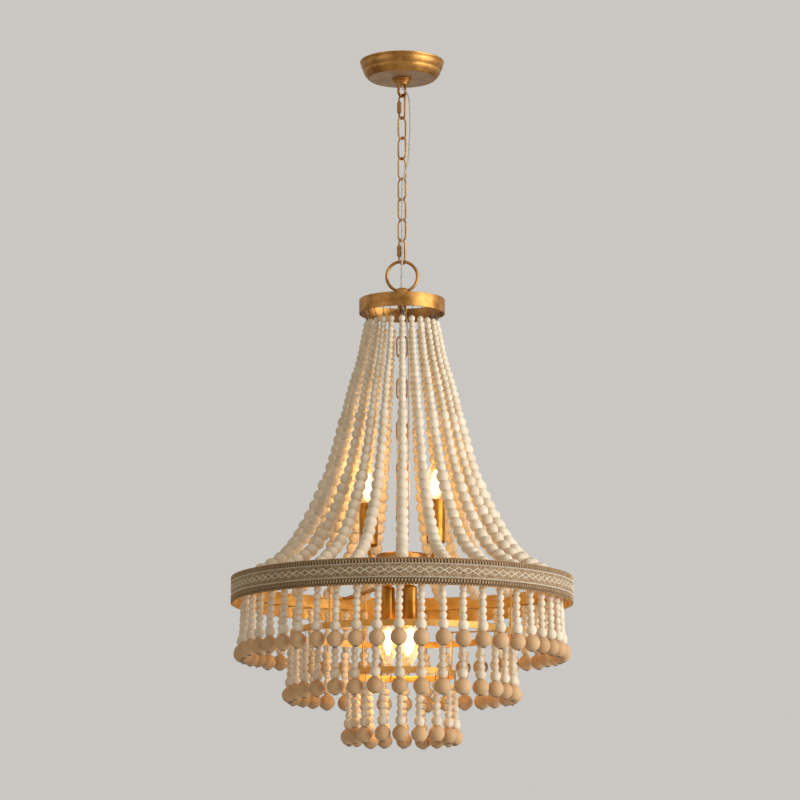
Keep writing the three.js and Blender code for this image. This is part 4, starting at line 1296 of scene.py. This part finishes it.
class CHANDELIER_OT_hoop(Maker):
    """Makes the hoop's two strips and the outer strands"""
    bl_idname = "chandelier.hoop"
    bl_label = "Hoop and outer strands"
    strands = 48

    def execute(self, context):
        metal = sizes("metal")
        radius, wall = metal.hoop_radius, metal.hoop_wall
        foot = SEAM - 22.9 * MM
        upper = Form().add(band(radius, wall + 0.7 * MM, HOOP_TOP, SEAM, 240, 0.4 * MM))
        upper.piece("hoop_upper_strip", "gilt", "fixture", "brass", ["hoop"], sharp=40)
        lower = Form().add(band(radius, wall, SEAM - 0.5 * MM, foot, 240, 0.5 * MM))
        lower.piece("hoop_lower_strip", "gilt", "fixture", "brass", ["outer_tier"], sharp=40)
        beads = Beads(seed=23)
        wires = Form()
        # Dark discs on the hoop's inner wall: painted shade of the holes that the wires go into
        holes = Form()
        inner, start = radius - wall, -0.85
        for i in range(self.strands):
            turn = 360.0 * i / self.strands + start
            hanging_strand(beads, wires, turn, 277 * MM, (inner, STRAND_HOLE), SEAM - 6.6 * MM,
                           small_count=6, splay=0.035)
            place = direction(turn) * inner
            holes.add(puck(place + [0, 0, STRAND_HOLE], place, 1.0 * MM))
        for i in range(DRAPE_STRANDS):
            place = direction(drape_turn(i)) * (inner - 0.7 * MM)
            holes.add(puck(place + [0, 0, DRAPE_HOLE], place, 1.1 * MM))
        beads.pale.piece("outer_small_beads", "pale", "fixture", "beads")
        beads.raw.piece("outer_large_beads", "raw", "fixture", "beads")
        wires.piece("outer_wires", "wire", "fixture", "steel")
        holes.piece("hoop_holes", "wire", "fixture", "steel")
        return {"FINISHED"}


class CHANDELIER_OT_ribbon(Maker):
    """Wraps the woven ribbon round the hoop"""
    bl_idname = "chandelier.ribbon"
    bl_label = "Ribbon"

    def execute(self, context):
        size = sizes("ribbon")
        top, foot = high("ribbon"), low("ribbon")
        outer = sizes("metal").hoop_radius + 0.3 * MM + size.thickness
        self.cloth(outer, size.thickness, top, foot)
        tall = top - foot
        centre = (top + foot) / 2
        face = outer + 0.15 * MM
        diamonds = 2 * round(math.pi * outer / size.diamond_pitch)
        waves = diamonds * size.stitches
        pale = Form()
        row = centre + 0.042 * tall
        thick, thin = (0.8 * MM, 0.66 * MM), (0.75 * MM, 0.72 * MM)
        for phase in (0.135, 0.635):
            self.zigzag(pale, face, row, size.diamond_height / 2, diamonds // 2, phase, thick, 8)
        for share in (0.285, -0.225):
            self.zigzag(pale, face, centre + share * tall, 1.15 * MM, waves, 0.0, thin, 1)
        pale.piece("ribbon_pale_thread", "thread", "fixture", "ribbon")
        tan = Form()
        for share, lean in ((0.395, 1), (-0.35, -1)):
            self.stitches(tan, face, centre + share * tall, waves, lean, 3.6 * MM)
        for share, lean in ((0.485, 1), (-0.475, -1)):
            self.stitches(tan, face, centre + share * tall, waves, lean, 1.3 * MM, 0.5)
        tan.piece("ribbon_edge_stitches", "stitch", "fixture", "ribbon")
        return {"FINISHED"}

    @staticmethod
    def cloth(outer, thick, top, foot):
        rows = []
        count = 12
        for k in range(count + 1):
            share = k / count
            puff = 0.25 * MM * math.sin(math.pi * share)
            rows.append((outer - 0.2 * MM + puff, top + (foot - top) * share))
        inner = outer - thick
        profile = rows + [(inner, foot), (inner, top)]
        shape = turned(profile, 360)
        points = shape[0]
        around = np.arctan2(points[:, 1], points[:, 0]) * outer / MM
        up = (points[:, 2] - (top + foot) / 2) / MM
        form = Form().add(shape, around=around, up=up)
        form.piece("ribbon_cloth", "ribbon", "fixture", "ribbon", ["ribbon"], sharp=50)

    @staticmethod
    def zigzag(form, radius, height, reach, count, phase, thick, steps):
        """A thread that goes up and down round the hoop, count times, with eased corners."""
        line = []
        for k in range(count * 2 * steps):
            part = (k / (2 * steps) + phase) % 1.0
            wave = 4 * abs(part - 0.5) - 1
            if steps > 1:
                wave = math.copysign(abs(wave) ** 1.06, wave)
            angle = 2 * math.pi * k / (count * 2 * steps)
            lift = radius + 0.25 * MM * (1 - abs(wave))
            line.append((lift * math.cos(angle), lift * math.sin(angle), height + reach * wave))
        form.add(swept(line, thick, 6, closed=True, across=(0.0, 0.0, 1.0)), tone=0.0)

    @staticmethod
    def stitches(form, radius, height, count, lean, reach, shift=0.0):
        """A row of upright stitches, each a bulging thread that leans a little."""
        pick = random.Random(int(1000 + abs(height) * 1e6) % 9973)
        unit = swept([(0, -1.0, 0), (0, -0.7, 0.0), (0, 0.0, 0.0), (0, 0.7, 0.0), (0, 1.0, 0)],
                     [0.3, 0.85, 1.0, 0.85, 0.3], 6)
        for k in range(count):
            angle = 2 * math.pi * (k + shift) / count
            spin = Matrix.Rotation(angle, 4, "Z") @ Matrix.Translation((radius - 0.1 * MM, 0, height))
            tilt = Matrix.Rotation(math.pi / 2 + lean * math.radians(11 + pick.uniform(-5, 5)), 4, "X")
            grow = Matrix.Diagonal((0.75 * MM, reach * pick.uniform(0.94, 1.04), 1.75 * MM, 1.0))
            form.add(unit, spin @ tilt @ grow, tone=pick.choice((0.0, 0.0, 0.35, 0.8)))


class CHANDELIER_OT_tiers(Maker):
    """Makes the middle and bottom rings with their strands, rods and tabs"""
    bl_idname = "chandelier.tiers"
    bl_label = "Middle and bottom tiers"

    def execute(self, context):
        metal = sizes("metal")
        tall = metal.ring_height
        self.tier("middle", metal.middle_radius, MIDDLE_TOP, tall, 32, wire_drop=10.4 * MM, start=-1.85, seed=31)
        self.tier("bottom", metal.bottom_radius, BOTTOM_TOP, tall, 18, wire_drop=13.0 * MM, start=-2.2, seed=47)
        self.rods(metal)
        return {"FINISHED"}

    @staticmethod
    def tier(name, radius, top, tall, count, wire_drop, start, seed):
        foot = top - tall
        ring = Form().add(band(radius, WALL, top, foot, 200, 0.4 * MM))
        ring.piece(name + "_ring", "gilt", "fixture", "brass", [name + "_tier"], sharp=40)
        beads = Beads(seed)
        wires, holes = Form(), Form()
        for i in range(count):
            turn = 360.0 * i / count + start
            hole = (radius + 0.2 * MM, foot + 3.4 * MM)
            hanging_strand(beads, wires, turn, radius - WALL / 2, hole, foot - wire_drop,
                           small_count=5, loose=0.026)
            place = direction(turn)
            for at in (radius, radius - WALL):
                holes.add(puck(place * at + [0, 0, foot + 3.6 * MM], place, 0.9 * MM))
        beads.pale.piece(name + "_small_beads", "pale", "fixture", "beads")
        beads.raw.piece(name + "_large_beads", "raw", "fixture", "beads")
        wires.piece(name + "_wires", "wire", "fixture", "steel")
        # Dark discs on both faces of the ring: painted shade of its holes
        holes.piece(name + "_holes", "wire", "fixture", "steel")

    @staticmethod
    def rods(metal):
        rod = 1.5 * MM
        half = metal.ring_height / 2
        arm_low = low("arm_1")
        form = Form()
        at = metal.middle_radius - WALL - rod
        for turn in ARM_TURNS:
            place = direction(turn) * at
            form.add(pin(rod, arm_low, MIDDLE_TOP - metal.ring_height, place[0], place[1], 16))
        at = metal.bottom_radius - WALL - rod
        tab_wide, tab_thick = 9 * MM, 2 * MM
        for turn in TAB_TURNS:
            place = direction(turn) * at
            form.add(pin(rod, MIDDLE_TOP - half, BOTTOM_TOP - metal.ring_height, place[0], place[1], 16))
            form.add(bar(turn, at - 4 * MM, metal.middle_radius - 1.0 * MM, tab_wide, tab_thick,
                         MIDDLE_TOP - half + MM))
        form.piece("tier_rods", "gilt", "fixture", "brass", sharp=40)


def bar(turn, start, end, wide, thick, top):
    """A flat bar with eased long edges, from one radius to another."""
    ease = thick * 0.22
    side, foot = wide / 2, top - thick
    section = rounded([(-side, top), (side, top), (side, foot), (-side, foot)], ease, 3)
    along, beside = direction(turn), plane_normal(turn)
    rows = [np.array([along * at + beside * a + np.array([0, 0, b]) for a, b in section])
            for at in (start, end)]
    count = len(section)
    step = np.arange(count)
    after = (step + 1) % count
    quads = np.stack([step, after, count + after, count + step], 1)
    return outward(np.concatenate(rows), [quads, step[None, ::-1], (count + step)[None, :]])


class CHANDELIER_OT_hub(Maker):
    """Makes the hub, its loop and the flat arms"""
    bl_idname = "chandelier.hub"
    bl_label = "Hub and arms"

    def execute(self, context):
        metal = sizes("metal")
        radius = metal.hub_radius
        top = HUB_LOW + metal.hub_height
        wall, hole, slope, roof = 1.6 * MM, 2.4 * MM, 2.5 * MM, top - 4.1 * MM
        profile = [(hole, top), (radius - slope, top), (radius, top - slope), (radius, HUB_LOW),
                   (radius - wall, HUB_LOW), (radius - wall, roof), (hole, roof)]
        form = Form().add(turned(rounded(profile, 1.4 * MM, 4), 128))
        spot = direction(54) * 11.8 * MM
        sleeve = [(2.2, 3.0), (3.9, 3.0), (4.5, 2.2), (4.5, -0.5), (2.2, -0.5)]
        form.add(moved(turned(rounded(in_mm(sleeve), 0.4 * MM, 3), 40), spot[0], spot[1], top))
        form.piece("hub_drum", "brass", "fixture", "brass", ["hub_cover"], sharp=40)
        rim, face = radius - 1.9 * MM, HUB_LOW + 2 * MM
        plate = [(0.0, face), (rim, face), (rim, HUB_LOW), (0.0, HUB_LOW)]
        base = Form().add(turned(rounded(plate, 0.5 * MM, 3, closed=False), 96, closed=False))
        base.piece("hub_base", "brass", "fixture", "brass", ["hub_plate"], sharp=40)
        self.loop()
        for i in (1, 2, 3):
            keep(f"arm_{i}", "brass", 0.6 * MM)
        return {"FINISHED"}

    @staticmethod
    def loop():
        outer, wire = 17 * MM, 4 * MM
        centre = high("hub_loop") - outer / 2
        form = Form().add(eye(outer, wire, centre))
        form.add(pin(wire / 2, centre - (outer - wire) / 2, low("hub_loop")))
        form.piece("hub_loop_bent", "brass", "fixture", "brass", ["hub_loop"])


LAMP_RADIUS = 17.5 * MM
# A lamp's outline from its neck to its tip: shares of its radius and of its glass
LAMP_LINE = [(0.62, 0.1), (0.86, 0.2), (0.985, 0.32), (1.0, 0.4), (0.955, 0.5), (0.83, 0.61), (0.65, 0.72),
             (0.45, 0.82), (0.27, 0.9), (0.13, 0.96)]


def bulb_glass(whole, tail):
    """The outline of a lamp's glass from its base to its tip."""
    glass = whole - tail
    rows = [(7.0 * MM, tail - 1.0 * MM), (8.0 * MM, tail + 0.03 * glass)]
    rows += [(LAMP_RADIUS * out, tail + up * glass) for out, up in LAMP_LINE]
    return smooth_path(rows + [(0.0, whole)], 4)


def lamp(name, up, whole, tail, power):
    """A clear candle lamp that points up (1) or down (-1): screw cap, glass, stem, filaments and glow."""
    at = middle(name)
    seat = low(name) if up > 0 else high(name)
    matrix = Matrix.Translation((at[0], at[1], seat)) @ Matrix.Diagonal((1, 1, up, 1))
    base = 6.6 * MM
    outline = bulb_glass(whole, tail)
    wall = 0.7 * MM
    inside = [(max(r - wall, 0.0), z - (wall if r < wall else 0.0)) for r, z in outline[::-1]]
    shell = [tuple(p) for p in outline] + [p for p in inside if p[0] > 0.0 or p is inside[0]]
    glass = Form().add(turned(shell, 48), matrix)
    glass.piece(name + "_glass", "glass", name, "glass", [name])
    cap = Form().add(threads(base, tail - 2 * MM, 5 * MM, 3.2 * MM, 40), matrix)
    tip = in_mm([(0.0, 5.2), (5.2, 5.2), (3.0, 1.6), (2.6, 0.3), (0.0, 0.2)])
    cap.add(turned(tip, 32, closed=False), matrix)
    rim = in_mm([(0.0, 0.6), (7.6, 0.6), (7.8, -1.4), (6.0, -2.6), (0.0, -2.6)], tail)
    cap.add(turned(rim, 40, closed=False), matrix)
    cap.piece(name + "_cap", "brass", name, "brass")
    stem = Form()
    low_at, high_at = tail + 12 * MM, tail + (whole - tail) * 0.67
    centre = (high_at + low_at) / 2
    stem.add(turned([(0.0, high_at), (0.9 * MM, high_at), (1.3 * MM, low_at), (3.2 * MM, tail + 5 * MM),
                     (5.2 * MM, tail), (0.0, tail)], 20, closed=False), matrix)
    stem.piece(name + "_stem", "glass", name, "glass")
    glow = Form()
    for k in range(4):
        turn = direction(45 + 90 * k)
        rod = [turn * 2.2 * MM + [0, 0, high_at - 1 * MM], turn * 4.6 * MM + [0, 0, centre],
               turn * 6.0 * MM + [0, 0, low_at]]
        glow.add(swept(smooth_path(rod, 4), 0.75 * MM, 8), matrix)
    glow.piece(name + "_filaments", "filament", name, "glass")
    bright = [(0.0, high_at + 3 * MM), (6.0 * MM, high_at - 4 * MM), (12.0 * MM, centre - 2 * MM),
              (10.6 * MM, low_at - 2 * MM), (0.0, low_at - 11 * MM)]
    halo = turned(smooth_path(bright, 6), 32, closed=False)
    Form().add(halo, matrix).piece(name + "_glow", "halo", name, "glass")
    data = bpy.data.lights.new(name + "_light", "POINT")
    data.energy = power
    data.color = tuple(sizes("finish").glow)
    data.shadow_soft_size = 0.012
    light = bpy.data.objects.new(name + "_light", data)
    light.location = (at[0], at[1], seat + up * centre)
    bpy.context.scene.collection.objects.link(light)
    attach(light, name)


class CHANDELIER_OT_lamps(Maker):
    """Makes the candle lamps, the lower lampholders and their lamps"""
    bl_idname = "chandelier.lamps"
    bl_label = "Lamps"

    def execute(self, context):
        stage = sizes("stage")
        for i, turn in enumerate(CANDLE_TURNS, 1):
            self.candle(f"candle_holder_{i}", turn)
            lamp(f"candle_bulb_{i}", 1, 110 * MM, 30 * MM, stage.candle)
        for i, turn in enumerate(SOCKET_TURNS, 1):
            self.socket(f"lower_socket_{i}", turn)
            lamp(f"lower_bulb_{i}", -1, 106 * MM, 28 * MM, stage.lower)
        return {"FINISHED"}

    @staticmethod
    def candle(node, turn):
        sleeve, reach, arm = 77 * MM, 63 * MM, 3.4 * MM
        top = high(node)
        foot = top - sleeve
        profile = [(0.0, foot), (11.4, foot), (13.6, foot + 0.5 * MM), (15.6, foot + 2.0 * MM),
                   (16.3, foot + 4.4 * MM), (16.6, foot + 20 * MM)]
        mouth = [(17.0, -1.4), (17.2, -0.4), (17.0, 0.0), (16.2, 0.0), (15.9, -0.8), (13.4, -14.0), (8.6, -29.5),
                 (0.0, -29.7)]
        at = direction(turn) * reach
        form = Form().add(moved(turned(widened(profile) + in_mm(mouth, top), 96, closed=False), at[0], at[1]))
        start = sizes("metal").hub_radius + 0.2 * MM
        side = low(node) + arm
        line = [(0.0, 0.0), (4.4, 0.0), (9.0, 5.0), (13.0, 13.4), (16.2, 22.6), (17.3, 29.0), (17.3, 34.0)]
        bend = [(start + a * MM, side + b * MM) for a, b in line]
        path = spaced(in_plane(turn, smooth_path(bend, 6)), 1.2 * MM)
        form.add(swept(path, arm, 16, across=plane_normal(turn)))
        boss = swept(in_plane(turn, [(start - 0.4 * MM, side), (start + 1.9 * MM, side)]), 5.2 * MM, 24,
                     across=plane_normal(turn))
        form.add(boss)
        form.piece(node + "_bent", "amber", "fixture", "brass", [node], sharp=50)

    @staticmethod
    def socket(node, turn):
        top, foot = high(node), low(node)
        cup = top - 14.7 * MM
        profile = in_mm([(0.0, 0.0), (6.0, 0.0)], top)
        profile += in_mm([(6.0, 1.5), (8.4, 0.6), (10.6, -0.6), (11.8, -2.6)], cup)
        profile += in_mm([(11.8, 0.4), (11.5, 0.0), (10.5, 0.0), (10.3, 0.5), (10.3, 28.0), (0.0, 28.0)], foot)
        reach = 24.6 * MM
        at = direction(turn) * reach
        form = Form().add(moved(turned(profile, 72, closed=False), at[0], at[1]))
        form.piece(node + "_turned", "amber", "fixture", "brass", [node], sharp=50)


STEPS = [CHANDELIER_OT_camera, CHANDELIER_OT_cord, CHANDELIER_OT_stage, CHANDELIER_OT_ceiling,
         CHANDELIER_OT_chain, CHANDELIER_OT_crown, CHANDELIER_OT_drape, CHANDELIER_OT_hoop,
         CHANDELIER_OT_ribbon, CHANDELIER_OT_tiers, CHANDELIER_OT_hub, CHANDELIER_OT_lamps]


class CHANDELIER_PT_pieces(bpy.types.Panel):
    """Lists the chandelier's operators"""
    bl_label = "Beaded chandelier"
    bl_idname = "CHANDELIER_PT_pieces"
    bl_space_type = "VIEW_3D"
    bl_region_type = "UI"
    bl_category = "Chandelier"

    def draw(self, context):
        column = self.layout.column()
        for step in STEPS:
            column.operator(step.bl_idname)


def register():
    for name, group in GROUPS.items():
        bpy.utils.register_class(group)
        setattr(bpy.types.Scene, name, bpy.props.PointerProperty(type=group))
    for step in STEPS:
        bpy.utils.register_class(step)
    bpy.utils.register_class(CHANDELIER_PT_pieces)


def unregister():
    bpy.utils.unregister_class(CHANDELIER_PT_pieces)
    for step in reversed(STEPS):
        bpy.utils.unregister_class(step)
    for name, group in reversed(list(GROUPS.items())):
        delattr(bpy.types.Scene, name)
        bpy.utils.unregister_class(group)


def main():
    register()
    make_materials()
    for step in STEPS:
        group, name = step.bl_idname.split(".")
        getattr(getattr(bpy.ops, group), name)()


if __name__ == "__main__":
    main()
